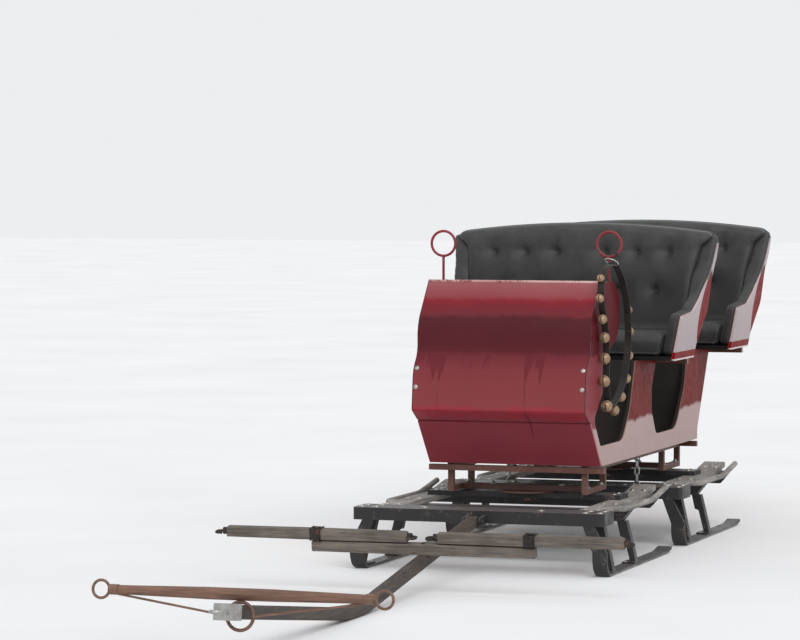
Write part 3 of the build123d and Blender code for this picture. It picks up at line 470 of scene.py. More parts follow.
steelLooks = {
    # hand-forged iron with mill scale and brown rust
    "forgedIron": {"base": "#2e2c2b", "light": "#4a4643", "patch": 40, "rustFrom": 0.52, "rust": 0.75,
                   "rustTone": "#5a3b2a", "metal": 0.85, "rough": (0.45, 0.75), "pit": 4, "relief": 0.5},
    # hot-dip galvanised fittings: pale grey, cloudy
    "galvanised": {"base": "#9b9b98", "light": "#bdbdb9", "patch": 18, "rustFrom": 0.66, "rust": 0.5,
                   "rustTone": "#6b5040", "metal": 0.9, "rough": (0.3, 0.5), "pit": 6, "relief": 0.2},
    # zinc-plated bolt heads
    "zincPlate": {"base": "#a5a39c", "light": "#c9c7c0", "patch": 12, "rustFrom": 0.64, "rust": 0.5,
                  "rustTone": "#7a5a44", "metal": 1.0, "rough": (0.25, 0.4), "pit": 5, "relief": 0.1},
    # sleigh bells: cast brass, tarnished tan to brown
    "bellBrass": {"base": "#8f735a", "light": "#ad937a", "patch": 14, "rustFrom": 0.60, "rust": 0.6,
                  "rustTone": "#5c4431", "metal": 0.55, "rough": (0.38, 0.6), "pit": 3, "relief": 0.25},
}
skinLooks = {
    # black expanded vinyl, pressed grain, softly shiny; lighter along the top of the backs and darker low on
    # them, painted highlight and painted shade with some sun-greying
    "tuftedVinyl": {"cell": 2.4, "base": "#454544", "worn": "#545453", "furrow": 0.72, "rough": (0.38, 0.52),
                    "relief": 0.35, "crease": 0.20, "sheen": 0.10, "specular": 0.28,
                    "greyingAndShade": [(0.80, 0.55), (0.88, 0.58), (0.93, 0.60), (0.96, 0.14), (1.10, 0.17),
                                (1.22, 0.41), (1.33, 0.73), (1.39, 0.78)]},
    # dark, oiled leather
    "harnessLeather": {"cell": 2.0, "base": "#242220", "worn": "#35322f", "furrow": 0.7, "rough": (0.5, 0.7),
                       "relief": 0.4, "crease": 0.1, "sheen": 0.03, "specular": 0.22,
                       "greyingAndShade": [(0.65, 1.0), (1.31, 1.0)]},
    # ribbed rubber mat on the floor
    "floorMat": {"cell": 6.0, "base": "#2b2b2c", "worn": "#4b4a49", "furrow": 0.6, "rough": (0.6, 0.85),
                 "relief": 0.6, "crease": 0.2, "sheen": 0.0, "specular": 0.4,
                 "greyingAndShade": [(0.40, 1.0), (0.42, 1.0)]},
}
# the same vinyl on the wings and arms, with a painted highlight on the arms' top roll and painted shade below
# it
skinLooks["wingVinyl"] = {**skinLooks["tuftedVinyl"],
                          "greyingAndShade": [(0.80, 0.26), (0.92, 0.28), (1.00, 0.52), (1.05, 0.85), (1.11, 0.52),
                                      (1.24, 0.60), (1.39, 0.80)]}
materials = {}
for make, looks in ((enamelPaint, enamelLooks), (weatheredWood, woodLooks), (barSteel, steelLooks),
                    (grainedSkin, skinLooks)):
    for name, look in looks.items():
        materials[name] = make(name, look)
print("made", len(materials), "finishes")


def dress(names, material):
    for name in names:
        nodes[name].data.materials.clear()
        nodes[name].data.materials.append(material)


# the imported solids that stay, each with the finish of what it is made of
dressing = {
    "dashEnamel": ["kick_board", "rear_board"],
    "blackEnamel": ["front_seat_riser", "rear_seat_riser"],
    "floorMat": ["floor_pan"],
    "chassisEnamel": ["sill_frame", "front_cradle", "rear_cradle"],
    "bobEnamel": ["front_bob_crossbars", "rear_bob_crossbars", "front_bolster", "rear_bolster",
                  "front_runner_left", "front_runner_right", "rear_runner_left", "rear_runner_right"],
    "greyPlank": ["front_bob_planks", "rear_bob_planks"],
    "greyBar": ["evener", "singletree_left", "singletree_right"],
    "poleAsh": ["pole"],
    "yokeHickory": ["neck_yoke"],
    "galvanised": ["pole_tip", "limit_chains"],
    "forgedIron": ["trace_hooks_left", "trace_hooks_right"],
    "ringEnamel": ["grab_rings"],
    "harnessLeather": ["bell_strap"],
}
for finish, names in dressing.items():
    dress(names, materials[finish])


# seats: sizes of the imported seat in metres, and the hand of the upholsterer
seat = {
    "boardBottom": 0.808, "boardTop": 0.826, "halfWidth": 0.525, "lean": 0.15, "plate": 0.014,
    "wingPad": 0.0432, "fronts": {"front": noseY + 1.143, "rear": noseY + 2.190},
    # rows of buttons by height, with each button's distance from the middle
    "buttons": {1.2595: (0.110, 0.2535, 0.397), 1.0945: (0.0, 0.180, 0.350)},
    "buttonHead": {"Head radius": 0.0115, "Head height": 0.0055, "Washer radius": 0.0085,
                   "Washer depth": 0.003},
    "edgeRoll": 0.040, "sideRoll": 0.4, "footRoll": 0.022, "footDepth": 0.08, "tuftDepth": 0.022,
    # reach and share of the button's pit and of the hollow around it, then of the swell between buttons, then
    # of the painted shade and dirt in the pits
    "pit": (0.017, 0.65), "hollow": (0.045, 0.35), "swell": (0.07, 0.007), "pitShadeAndDirt": (0.014, 0.85),
    "bow": [(1.05, -0.004), (1.17, 0.009), (1.28, 0.009), (1.335, -0.031)],
    # the back's upper edge: height, rise of the cover over it, how it leans, and its welt with two points a tip
    "crown": 1.38, "crownRise": 0.006, "crownSlope": 0.19, "crownHalf": 0.580, "crownBehind": 0.007,
    "welt": 0.0115, "weltSunk": 0.003, "weltHalf": 0.566, "weltTips": [(0.584, 1.328), (0.590, 1.308)],
    # the cover's mesh and what it clears
    "border": 0.042, "mesh": 0.0075, "lineStep": 0.003, "roundness": 2.4, "wingGap": 0.0012, "shellGap": 0.0008,
}
# the seat side's paintwork, from the seat's front and in height
sidePaint = {
    "red": "#790e12", "outline": "#7b5547", "white": "#d8cccd", "arrisTone": "#6b3236", "arris": 0.0105,
    "top": (0.458, 1.190), "bottom": (0.362, 0.874), "bulges": (0.062, 0.078), "outlineWidth": 0.004,
    "footBand": 0.036, "footLine": 0.007,
}


def enamelBase(name, look):
    # enamel to paint further on: its tone so far and the parts of a point's place
    material = enamelPaint(name, look)
    tree = material.node_tree
    shader = next(n for n in tree.nodes if n.type == "BSDF_PRINCIPLED")
    place = next(n for n in tree.nodes if n.type == "TEX_COORD").outputs["Object"]
    parts = addNode(tree, "ShaderNodeSeparateXYZ", {0: place}).outputs
    return material, tree, shader, place, parts, shader.inputs["Base Color"].links[0].from_socket


def seatShellPaint():
    # back of the seat in red enamel, its board black, the bearer below in brown wood, told apart by height
    material, tree, shader, place, parts, painted = enamelBase("seatBackEnamel", {
        **dashLook, "runs": 0.0, "bands": [(0.8, "#7b1723"), (1.4, "#8b1f2c")]})
    grain = addNode(tree, "ShaderNodeMapping", {"Vector": place, "Scale": (0.05, 1.0, 1.0)})
    rings = addNode(tree, "ShaderNodeTexNoise", {"Vector": grain, "Scale": perMetre(8), "Detail": 6.0})
    wood = addNode(tree, "ShaderNodeValToRGB", {0: rings},
                   stops=[(0.3, "#4b3227"), (0.52, "#6b4a3a"), (0.75, "#86614e")])
    for top, over in ((seat["boardTop"] + 0.003, "#1d1c1d"), (seat["boardBottom"] - 0.0004, wood)):
        below = addNode(tree, "ShaderNodeMath", {0: parts["Z"], 1: top}, operation="LESS_THAN")
        painted = addNode(tree, "ShaderNodeMix", {0: below, 6: painted, 7: over}, data_type="RGBA")
    plug(tree, shader, {"Base Color": painted})
    return material


def cheekPaint(name, y0):
    # outer seat side: pale rose, a painted reflection of the bright ground on the flared red side, with a red
    # crescent, a red foot band over a fine white line
    material, tree, shader, place, parts, tone = enamelBase(name, {
        **sideLook, "aft": 99.0, "faded": "#b8a7aa", "dustAndReflection": 0.0, "chipFrom": 0.50,
        "bands": [(0.80, "#aa9da0"), (1.10, "#b9afb0"), (1.30, "#b3a5a8")]})
    # the crescent is what two large circles share, between its upper and lower point
    top, bottom = ((y0 + y, z) for y, z in (sidePaint["top"], sidePaint["bottom"]))
    halfLength = math.dist(top, bottom) / 2
    middle = ((top[0] + bottom[0]) / 2, (top[1] + bottom[1]) / 2)
    aside = ((top[1] - bottom[1]) / (2 * halfLength), -(top[0] - bottom[0]) / (2 * halfLength))
    inside, core = 1.0, 1.0
    for bulge, way in zip(sidePaint["bulges"], (1.0, -1.0)):
        radius = (halfLength**2 + bulge**2) / (2 * bulge)
        centre = [middle[i] + way * aside[i] * (radius - bulge) for i in (0, 1)]
        dy, dz = (addNode(tree, "ShaderNodeMath", {0: parts[axis], 1: at}, operation="SUBTRACT")
                  for axis, at in zip("YZ", centre))
        offset = addNode(tree, "ShaderNodeCombineXYZ", {0: dy, 1: dz})
        length = addNode(tree, "ShaderNodeVectorMath", {0: offset}, operation="LENGTH")
        disc = addNode(tree, "ShaderNodeMapRange", {"Value": length, "From Min": radius - 0.002,
                                                    "From Max": radius, "To Min": 1.0, "To Max": 0.0})
        inside = addNode(tree, "ShaderNodeMath", {0: inside, 1: disc}, operation="MULTIPLY")
        inner = addNode(tree, "ShaderNodeMath", {0: length, 1: radius - sidePaint["outlineWidth"]},
                        operation="LESS_THAN")
        core = addNode(tree, "ShaderNodeMath", {0: core, 1: inner}, operation="MULTIPLY")
    foot = seat["boardBottom"]
    band, line = (addNode(tree, "ShaderNodeMath", {0: parts["Z"], 1: foot + sidePaint[key]},
                          operation="LESS_THAN") for key in ("footBand", "footLine"))
    # dark red line along the plate's inner arris, where the vinyl is tacked on
    width = addNode(tree, "ShaderNodeMath", {0: parts["X"]}, operation="ABSOLUTE")
    rise = addNode(tree, "ShaderNodeMath", {0: parts["Z"], 1: -seat["lean"], 2: foot * seat["lean"]},
                   operation="MULTIPLY_ADD")
    square = addNode(tree, "ShaderNodeMath", {0: width, 1: rise}, operation="ADD")
    arris = addNode(tree, "ShaderNodeMath", {0: square, 1: seat["halfWidth"] - sidePaint["arris"]},
                    operation="LESS_THAN")
    for share, over in ((inside, "outline"), (core, "red"), (band, "red"), (line, "white"),
                        (arris, "arrisTone")):
        tone = addNode(tree, "ShaderNodeMix", {0: share, 6: tone, 7: sidePaint[over]}, data_type="RGBA")
    plug(tree, shader, {"Base Color": tone})
    return material


def boardPaint(name, look, edges):
    # enamel that changes towards a board's outer arris: each edge is a side of a limit in |x|, and its tone
    material, tree, shader, place, parts, tone = enamelBase(name, look)
    width = addNode(tree, "ShaderNodeMath", {0: parts["X"]}, operation="ABSOLUTE")
    for way, limit, edgeTone in edges:
        beyond = addNode(tree, "ShaderNodeMath", {0: width, 1: limit}, operation=way)
        tone = addNode(tree, "ShaderNodeMix", {0: beyond, 6: tone, 7: edgeTone}, data_type="RGBA")
    plug(tree, shader, {"Base Color": tone})
    return material


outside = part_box("side_panel_left")[1].x
# side boards: enamel outside, black inside and on the doors' edges, with a tan line between the two
dress(["side_panel_left", "side_panel_right"], boardPaint("panelEnamel", sideLook, [
    ("LESS_THAN", outside - 0.0003, "#8d6f66"), ("LESS_THAN", outside - 0.0045, "#352f2e")]))
# dash sheet: dark joint where it laps the side boards
dress(["dash_panel"], boardPaint("dashSheetEnamel", dashLook, [("GREATER_THAN", outside - 0.0030, "#3d1216")]))
dress([place + "_seat_shell" for place in seat["fronts"]], seatShellPaint())
for place, y0 in seat["fronts"].items():
    dress([f"{place}_seat_side_{hand}" for hand in ("left", "right")], cheekPaint(place + "CheekEnamel", y0))
print("dressed the packed solids")


def wingInside(z):  # half width between the wing pads at a height
    return seat["halfWidth"] - seat["plate"] - seat["wingPad"] + (z - seat["boardBottom"]) * seat["lean"]


def bow(z):  # how much thicker than its packed pad a wing is stuffed: fuller half-way up, thin at the tip
    stops = seat["bow"]
    for (z0, a), (z1, b) in zip(stops, stops[1:]):
        if z < z1:
            share = clamped((z - z0) / (z1 - z0))
            return a + (b - a) * share * share * (3 - 2 * share)
    return stops[-1][1]


def rolled(distance, roll):  # how far a stuffed edge falls back, from 1 at the border to 0 inside the roll
    share, power = clamped(distance / roll), seat["roundness"]
    return 1 - (1 - (1 - share) ** power) ** (1 / power)


def seatLines(place):
    # heights on the middle line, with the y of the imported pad's front and of the shell's front
    low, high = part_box(place + "_back_pad")
    pad, shell = surfaceOf(nodes[place + "_back_pad"]), surfaceOf(nodes[place + "_seat_shell"])
    zs = np.arange(low.z + 0.0015, high.z - 0.0005, seat["lineStep"])
    fronts = [np.array([surface.ray_cast(Vector((0.02, low.y - 0.3, z)), rearward)[0].y for z in zs])
              for surface in (pad, shell)]
    return zs, *fronts, shell


def crownHeight(shell, y, x):
    # highest point of the shell within 12 mm ahead of and behind this place
    best = 0.0
    for step in np.linspace(-0.012, 0.012, 9):
        hit = shell.ray_cast(Vector((x, y + step, 1.6)), -upward)[0]
        best = max(best, hit.z if hit else 0.0)
    return best


def spacing(length):
    # distances along a stuffed panel, close together on its rolled borders
    fine = seat["border"]
    border = [0.0, 0.0004, 0.0014, 0.003, 0.0055, 0.009, 0.0135, 0.019, 0.0255, 0.033, fine]
    count = max(2, round((length - 2 * fine) / seat["mesh"]))
    inner = list(np.linspace(fine, length - fine, count + 1))[1:-1]
    return border + inner + [length - b for b in reversed(border)]


def tuftedBack(place):
    zs, padFront, shellFront, shell = seatLines(place)
    buttons = np.array(sorted({(side * x, z) for z, row in seat["buttons"].items() for x in row
                               for side in (-1, 1)}))

    def fromButton(x, z):
        return float(np.hypot(buttons[:, 0] - x, buttons[:, 1] - z).min())

    def near(away, key, power=2):  # 1 at a button, falling off over the reach that the seat's list gives
        return math.exp(-(away / seat[key][0]) ** power)

    def depth(x, z, width, top):
        # how far behind the plain front the cover lies
        borders = [seat["sideRoll"] * rolled(width - abs(x), seat["edgeRoll"]),
                   rolled(top - z, seat["edgeRoll"]), seat["footDepth"] * rolled(z - zs[0], seat["footRoll"])]
        fall = 1 - (1 - borders[0]) * (1 - borders[1]) * (1 - borders[2])
        away = fromButton(x, z)
        dimple = near(away, "pit", 1.5) * seat["pit"][1] + near(away, "hollow") * seat["hollow"][1]
        puff = seat["swell"][1] * (1 - near(away, "swell")) * (1 - fall)
        return seat["edgeRoll"] * fall + seat["tuftDepth"] * dimple * (1 - fall) - puff

    def cover(x, z, width, top):
        return Vector((x, float(np.interp(z, zs, padFront)) + depth(x, z, width, top), z))

    crownY = float(shellFront[-1]) + seat["crownBehind"]

    def crownAt(x):
        x = min(abs(x), seat["crownHalf"])
        sunk = max(0.0, seat["crown"] - 0.004 - crownHeight(shell, crownY, x))
        return crownHeight(shell, crownY - seat["crownSlope"] * sunk, x)

    firstTop = seat["crown"] - 0.04
    tops = {}
    wide = wingInside(firstTop)
    columns = [x - wide for x in spacing(2 * wide)]
    for x in columns:
        top = firstTop
        for _ in range(12):  # where the column meets the crown of the back
            top = (top + crownAt(x / wide * (wingInside(top) - bow(top)))) / 2
        tops[x] = top + seat["crownRise"]
    rows = spacing(seat["crown"] - zs[0])
    points, faces = [], []
    for layer in (0, 1):
        for row in rows:
            for x in columns:
                z = zs[0] + row * (tops[x] - zs[0]) / rows[-1]
                width = wingInside(z) - bow(z) - seat["wingGap"]
                across = x / wide * width
                if layer == 0:
                    points.append(cover(across, z, width, tops[x]))
                else:
                    points.append(Vector((across, float(np.interp(z, zs, shellFront)) - seat["shellGap"], z)))
    n, m = len(columns), len(rows)
    for j in range(m - 1):
        for i in range(n - 1):
            a, b = j * n + i, n * m + j * n + i
            faces += [(a, a + 1, a + n + 1, a + n), (b, b + n, b + n + 1, b + 1)]
    rim = list(range(n)) + [j * n + n - 1 for j in range(1, m)]
    rim += [(m - 1) * n + i for i in range(n - 2, -1, -1)] + [j * n for j in range(m - 2, 0, -1)]
    for a, b in zip(rim, rim[1:] + rim[:1]):
        faces.append((b, a, n * m + a, n * m + b))
    pad = outward(meshPiece(place + "TuftedBack", points, faces, materials["tuftedVinyl"], None))
    # painted shade, with some dirt, round each button, stored on the cover's points for the vinyl
    pits = pad.data.attributes.new("pit", "FLOAT", "POINT")
    for vertex in pad.data.vertices:
        pits.data[vertex.index].value = seat["pitShadeAndDirt"][1] * near(fromButton(vertex.co.x, vertex.co.z), "pitShadeAndDirt")
    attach(pad, "sleigh")
    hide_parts(place + "_back_pad")
    # welt rolled over the back's upper edge, down to the tips of the seat sides
    crown = [(x, crownAt(x)) for x in np.linspace(-seat["weltHalf"], seat["weltHalf"], 110)]
    crown = [(-x, z) for x, z in reversed(seat["weltTips"])] + crown + seat["weltTips"]
    path = [Vector((x, crownY - seat["crownSlope"] * max(0.0, seat["crown"] - z), z - seat["weltSunk"]))
            for x, z in crown]
    sweptTube(place + "BackWelt", path, seat["welt"], materials["tuftedVinyl"], "sleigh", sides=12)
    spots = []
    for x, z in buttons:
        centre = cover(x, z, wingInside(z), seat["crown"] - 0.01)
        slope = (float(np.interp(z + 0.03, zs, padFront)) - float(np.interp(z - 0.03, zs, padFront))) / 0.06
        spots.append((centre + rearward * 0.001, Vector((0, -1, slope)).normalized()))
    return spots


def instanceTree(name, makePart, sizes):
    # node group: a mesh's points, each with a facing vector, carry one small part each
    tree = bpy.data.node_groups.new(name, "GeometryNodeTree")
    tree.interface.new_socket("Geometry", in_out="INPUT", socket_type="NodeSocketGeometry")
    for label, size in sizes.items():
        tree.interface.new_socket(label, in_out="INPUT", socket_type="NodeSocketFloat").default_value = size
    tree.interface.new_socket("Material", in_out="INPUT", socket_type="NodeSocketMaterial")
    tree.interface.new_socket("Geometry", in_out="OUTPUT", socket_type="NodeSocketGeometry")
    entry = addNode(tree, "NodeGroupInput").outputs
    facing = addNode(tree, "GeometryNodeInputNamedAttribute", {"Name": "facing"}, data_type="FLOAT_VECTOR")
    turn = addNode(tree, "FunctionNodeAlignRotationToVector", {"Vector": facing}, axis="Z")
    size = addNode(tree, "GeometryNodeInputNamedAttribute", {"Name": "size"}, data_type="FLOAT")
    spread = addNode(tree, "GeometryNodeInstanceOnPoints", {
        "Points": entry["Geometry"], "Instance": makePart(tree, entry), "Rotation": turn, "Scale": size})
    real = addNode(tree, "GeometryNodeRealizeInstances", {0: spread})
    painted = addNode(tree, "GeometryNodeSetMaterial", {"Geometry": real, "Material": entry["Material"]})
    addNode(tree, "NodeGroupOutput", {"Geometry": painted})
    return tree


def domePart(tree, entry):
    # low dome on a thin washer
    ball = addNode(tree, "GeometryNodeMeshUVSphere", {"Segments": 16, "Rings": 8,
                                                      "Radius": entry["Head radius"]})
    flat = addNode(tree, "ShaderNodeMath", {0: entry["Head height"], 1: entry["Head radius"]},
                   operation="DIVIDE")
    squash = addNode(tree, "ShaderNodeCombineXYZ", {0: 1.0, 1: 1.0, 2: flat})
    dome = addNode(tree, "GeometryNodeTransform", {"Geometry": ball, "Scale": squash})
    washer = addNode(tree, "GeometryNodeMeshCylinder", {"Vertices": 20, "Radius": entry["Washer radius"],
                                                        "Depth": entry["Washer depth"]})
    joined = addNode(tree, "GeometryNodeJoinGeometry", {0: dome})
    plug(tree, joined, {0: washer})
    return joined


def hexPart(tree, entry):
    # six-sided nut on a washer, with the bolt's end standing proud
    nut = addNode(tree, "GeometryNodeMeshCylinder", {"Vertices": 6, "Radius": entry["Nut radius"],
                                                     "Depth": entry["Nut depth"]})
    scaled = [addNode(tree, "ShaderNodeMath", {0: entry[label], 1: share}, operation="MULTIPLY")
              for label, share in (("Nut depth", 0.5), ("Nut radius", 0.52), ("Nut depth", 3.2),
                                   ("Nut radius", 1.45))]
    half, shankRadius, shankDepth, washerRadius = scaled
    lift = addNode(tree, "ShaderNodeCombineXYZ", {2: half})
    raised = addNode(tree, "GeometryNodeTransform", {"Geometry": nut, "Translation": lift})
    shank = addNode(tree, "GeometryNodeMeshCylinder", {"Vertices": 14, "Radius": shankRadius,
                                                       "Depth": shankDepth})
    washer = addNode(tree, "GeometryNodeMeshCylinder", {"Vertices": 20, "Radius": washerRadius, "Depth": 0.004})
    joined = addNode(tree, "GeometryNodeJoinGeometry")
    for made in (raised, shank, washer):
        plug(tree, joined, {0: made})
    return joined


domeTree = instanceTree("domeHeads", domePart, {"Head radius": 0.009, "Head height": 0.005,
                                                "Washer radius": 0.012, "Washer depth": 0.003})
hexTree = instanceTree("hexNuts", hexPart, {"Nut radius": 0.009, "Nut depth": 0.008})


def scatter(name, spots, tree, sizes, material, body):
    # spots are (point, facing) or (point, facing, scale)
    piece = meshPiece(name, [s[0] for s in spots], [], material, None)
    facing = piece.data.attributes.new("facing", "FLOAT_VECTOR", "POINT")
    facing.data.foreach_set("vector", [c for s in spots for c in s[1]])
    size = piece.data.attributes.new("size", "FLOAT", "POINT")
    size.data.foreach_set("value", [s[2] if len(s) > 2 else 1.0 for s in spots])
    modifier = piece.modifiers.new("spread", "NODES")
    modifier.node_group = tree
    given = {**sizes, "Material": material}
    for item in tree.interface.items_tree:
        if item.in_out == "INPUT" and item.name in given:
            modifier[item.identifier] = given[item.name]
    applyModifiers(piece)
    piece.data.polygons.foreach_set("use_smooth", [len(p.vertices) < 5 for p in piece.data.polygons])
    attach(piece, body)
    return piece


for place in seat["fronts"]:
    spots = tuftedBack(place)
    # the buttons take the dark leather finish, as painted shade in their pits
    scatter(place + "SeatButtons", spots, domeTree, seat["buttonHead"], materials["harnessLeather"], "sleigh")
print("tufted the seat backs")


def remeshed(piece, voxel):
    modifier = piece.modifiers.new("voxels", "REMESH")
    modifier.mode = "VOXEL"
    modifier.voxel_size = voxel
    return applyModifiers(piece)


def eased(piece, rounds):  # evens the surface out, which rounds its edges
    work = bmesh.new()
    work.from_mesh(piece.data)
    for _ in range(rounds):
        bmesh.ops.smooth_vert(work, verts=work.verts, factor=0.5, use_axis_x=True, use_axis_y=True,
                              use_axis_z=True)
    work.to_mesh(piece.data)
    work.free()
    piece.data.update()


def swollen(piece, amount):
    piece.data.update()
    normals = [v.normal.copy() for v in piece.data.vertices]
    for vertex, normal in zip(piece.data.vertices, normals):
        vertex.co += normal * amount
    piece.data.update()


def puffed(piece, look):
    # cloth blown up a little inside a cap, then applied
    start = np.array([v.co[:] for v in piece.data.vertices])
    modifier = piece.modifiers.new("cloth", "CLOTH")
    settings = modifier.settings
    settings.quality = 4
    settings.use_pressure = True
    settings.uniform_pressure_force = look["pressure"]
    settings.effector_weights.gravity = 0.0
    settings.tension_stiffness = settings.compression_stiffness = look["stiffness"]
    modifier.point_cache.frame_start = 1
    modifier.point_cache.frame_end = look["frames"]
    for number in range(1, look["frames"] + 1):
        scene.frame_set(number)
    graph = bpy.context.evaluated_depsgraph_get()
    blown = piece.evaluated_get(graph).to_mesh()
    end = np.array([v.co[:] for v in blown.vertices])
    piece.evaluated_get(graph).to_mesh_clear()
    piece.modifiers.clear()
    scene.frame_set(1)
    move = end - start
    length = np.linalg.norm(move, axis=1, keepdims=True)
    move *= np.minimum(1.0, look["cap"] / np.maximum(length, 1e-9))
    piece.data.vertices.foreach_set("co", (start + move).ravel())
    piece.data.update()


wing = {"voxel": 0.005, "ease": 9, "swell": 0.0045, "lift": 0.007, "liftFrom": 1.24, "liftOver": 0.08,
        "lap": 0.011, "lapFrom": 1.06, "lapOver": 0.09, "ahead": 0.005}
cushion = {"voxel": 0.008, "ease": 2, "shrink": 0.006, "pressure": 4.0, "stiffness": 12.0, "frames": 20,
           "cap": 0.011, "welt": 0.0055, "weltAt": 0.012}
for place in seat["fronts"]:
    pads = remeshed(meshCopy(place + "_wing_pads"), wing["voxel"])
    eased(pads, wing["ease"])
    swollen(pads, wing["swell"])
    # fuller half-way up, drawn up to the crown and lapped over the plate's tip
    for vertex in pads.data.vertices:
        height, side = vertex.co.z, math.copysign(1.0, vertex.co.x)
        share = clamped((wingInside(height) + seat["wingPad"] - abs(vertex.co.x)) / seat["wingPad"])
        high = clamped((height - wing["liftFrom"]) / wing["liftOver"])
        lapped = clamped((height - wing["lapFrom"]) / wing["lapOver"]) * (1 - share)
        vertex.co.x += side * (wing["lap"] * lapped - bow(height) * share)
        vertex.co.y -= wing["ahead"] * lapped
        vertex.co.z += wing["lift"] * high
    pads.name = pads.data.name = place + "WingPads"
    pads.data.materials.append(materials["wingVinyl"])
    smoothed(pads)
    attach(pads, "sleigh")
    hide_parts(place + "_wing_pads")

    squab = remeshed(meshCopy(place + "_seat_cushion"), cushion["voxel"])
    eased(squab, cushion["ease"])
    swollen(squab, -cushion["shrink"])
    puffed(squab, cushion)
    eased(squab, cushion["ease"])
    divide = squab.modifiers.new("finer", "SUBSURF")
    divide.levels = divide.render_levels = 1
    applyModifiers(squab)
    low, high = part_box(place + "_seat_cushion")
    for vertex in squab.data.vertices:  # flat underneath, where it lies on its board
        vertex.co.z = max(vertex.co.z, low.z - 0.0003)
    squab.name = squab.data.name = place + "Cushion"
    squab.data.materials.clear()
    squab.data.materials.append(materials["tuftedVinyl"])
    smoothed(squab)
    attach(squab, "sleigh")
    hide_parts(place + "_seat_cushion")

    # welt at the foot of the cushion's front
    path, surface, at = [], surfaceOf(squab), cushion["weltAt"]
    for x in np.linspace(at - wingInside(low.z), wingInside(low.z) - at, 80):
        hit = surface.ray_cast(Vector((x, low.y - 0.1, low.z + at)), rearward)[0]
        if hit is not None:
            path.append(hit + rearward * 0.001)
    if len(path) > 10:
        sweptTube(place + "CushionWelt", path, cushion["welt"], materials["tuftedVinyl"], "sleigh", sides=8)
print("padded the wings and cushions")


def looseParts(node):
    # vertex positions of each separate solid in a node
    work = bmesh.new()
    work.from_mesh(nodes[node].data)
    bmesh.ops.remove_doubles(work, verts=work.verts, dist=1e-5)
    left, parts = set(work.verts), []
    while left:
        queue = [left.pop()]
        found = list(queue)
        while queue:
            for edge in queue.pop().link_edges:
                for vertex in edge.verts:
                    if vertex in left:
                        left.remove(vertex)
                        queue.append(vertex)
                        found.append(vertex)
        parts.append(np.array([v.co[:] for v in found]))
    work.free()
    return sorted(parts, key=lambda p: (round(float(p[:, 1].mean()), 4), round(float(p[:, 2].mean()), 4)))


# bells: the slot's and its end holes' half widths in radians, how far the slot turns, and the cast seams
bell = {
    "columns": 40, "slot": 0.085, "slotTurn": 64, "hole": 0.16, "holeTurn": 14, "wall": 0.0012, "seam": 0.0011,
    "lifts": (17, 26, 37, 50, 64, 78), "seams": ((0.0, 1.0), (-0.42, 0.9), (-0.62, 0.78)), "sized": 0.024,
    "rivet": {"Head radius": 0.0048, "Head height": 0.0022, "Washer radius": 0.0068, "Washer depth": 0.0012},
    "shank": {"Head radius": 0.007, "Head height": 0.0035, "Washer radius": 0.0085, "Washer depth": 0.002},
    "footGap": 0.0015, "strapThick": 0.0052,
}


def bellShell(radius):
    # hollow ball about the origin: Z points away from the strap, a slot runs along Y over the front
    slot, hole = math.degrees(bell["slot"]), math.degrees(bell["hole"])
    half = [slot, hole, *bell["lifts"]]
    lifts = [-lift for lift in reversed(half)] + half
    points, faces = [], []
    n = bell["columns"]
    for lift in lifts:
        a = math.radians(lift)
        for k in range(n):
            turn = 2 * math.pi * k / n
            points.append((radius * math.sin(a), radius * math.cos(a) * math.sin(turn),
                           radius * math.cos(a) * math.cos(turn)))
    points += [(-radius, 0, 0), (radius, 0, 0)]
    for j, (low, high) in enumerate(zip(lifts, lifts[1:])):
        for k in range(n):
            angle = abs((360 * (k + 0.5) / n + 180) % 360 - 180)
            inSlot = abs(low + high) < 1e-6 and angle < bell["slotTurn"]
            holeFrom = bell["slotTurn"] - bell["holeTurn"]
            inHole = max(abs(low), abs(high)) <= hole + 1e-6 and holeFrom < angle < bell["slotTurn"]
            if not (inSlot or inHole):
                a, b = j * n + k, j * n + (k + 1) % n
                faces.append((a, b, b + n, a + n))
    last = (len(lifts) - 1) * n
    for k in range(n):
        faces.append((len(points) - 2, (k + 1) % n, k))
        faces.append((len(points) - 1, last + k, last + (k + 1) % n))
    return points, faces


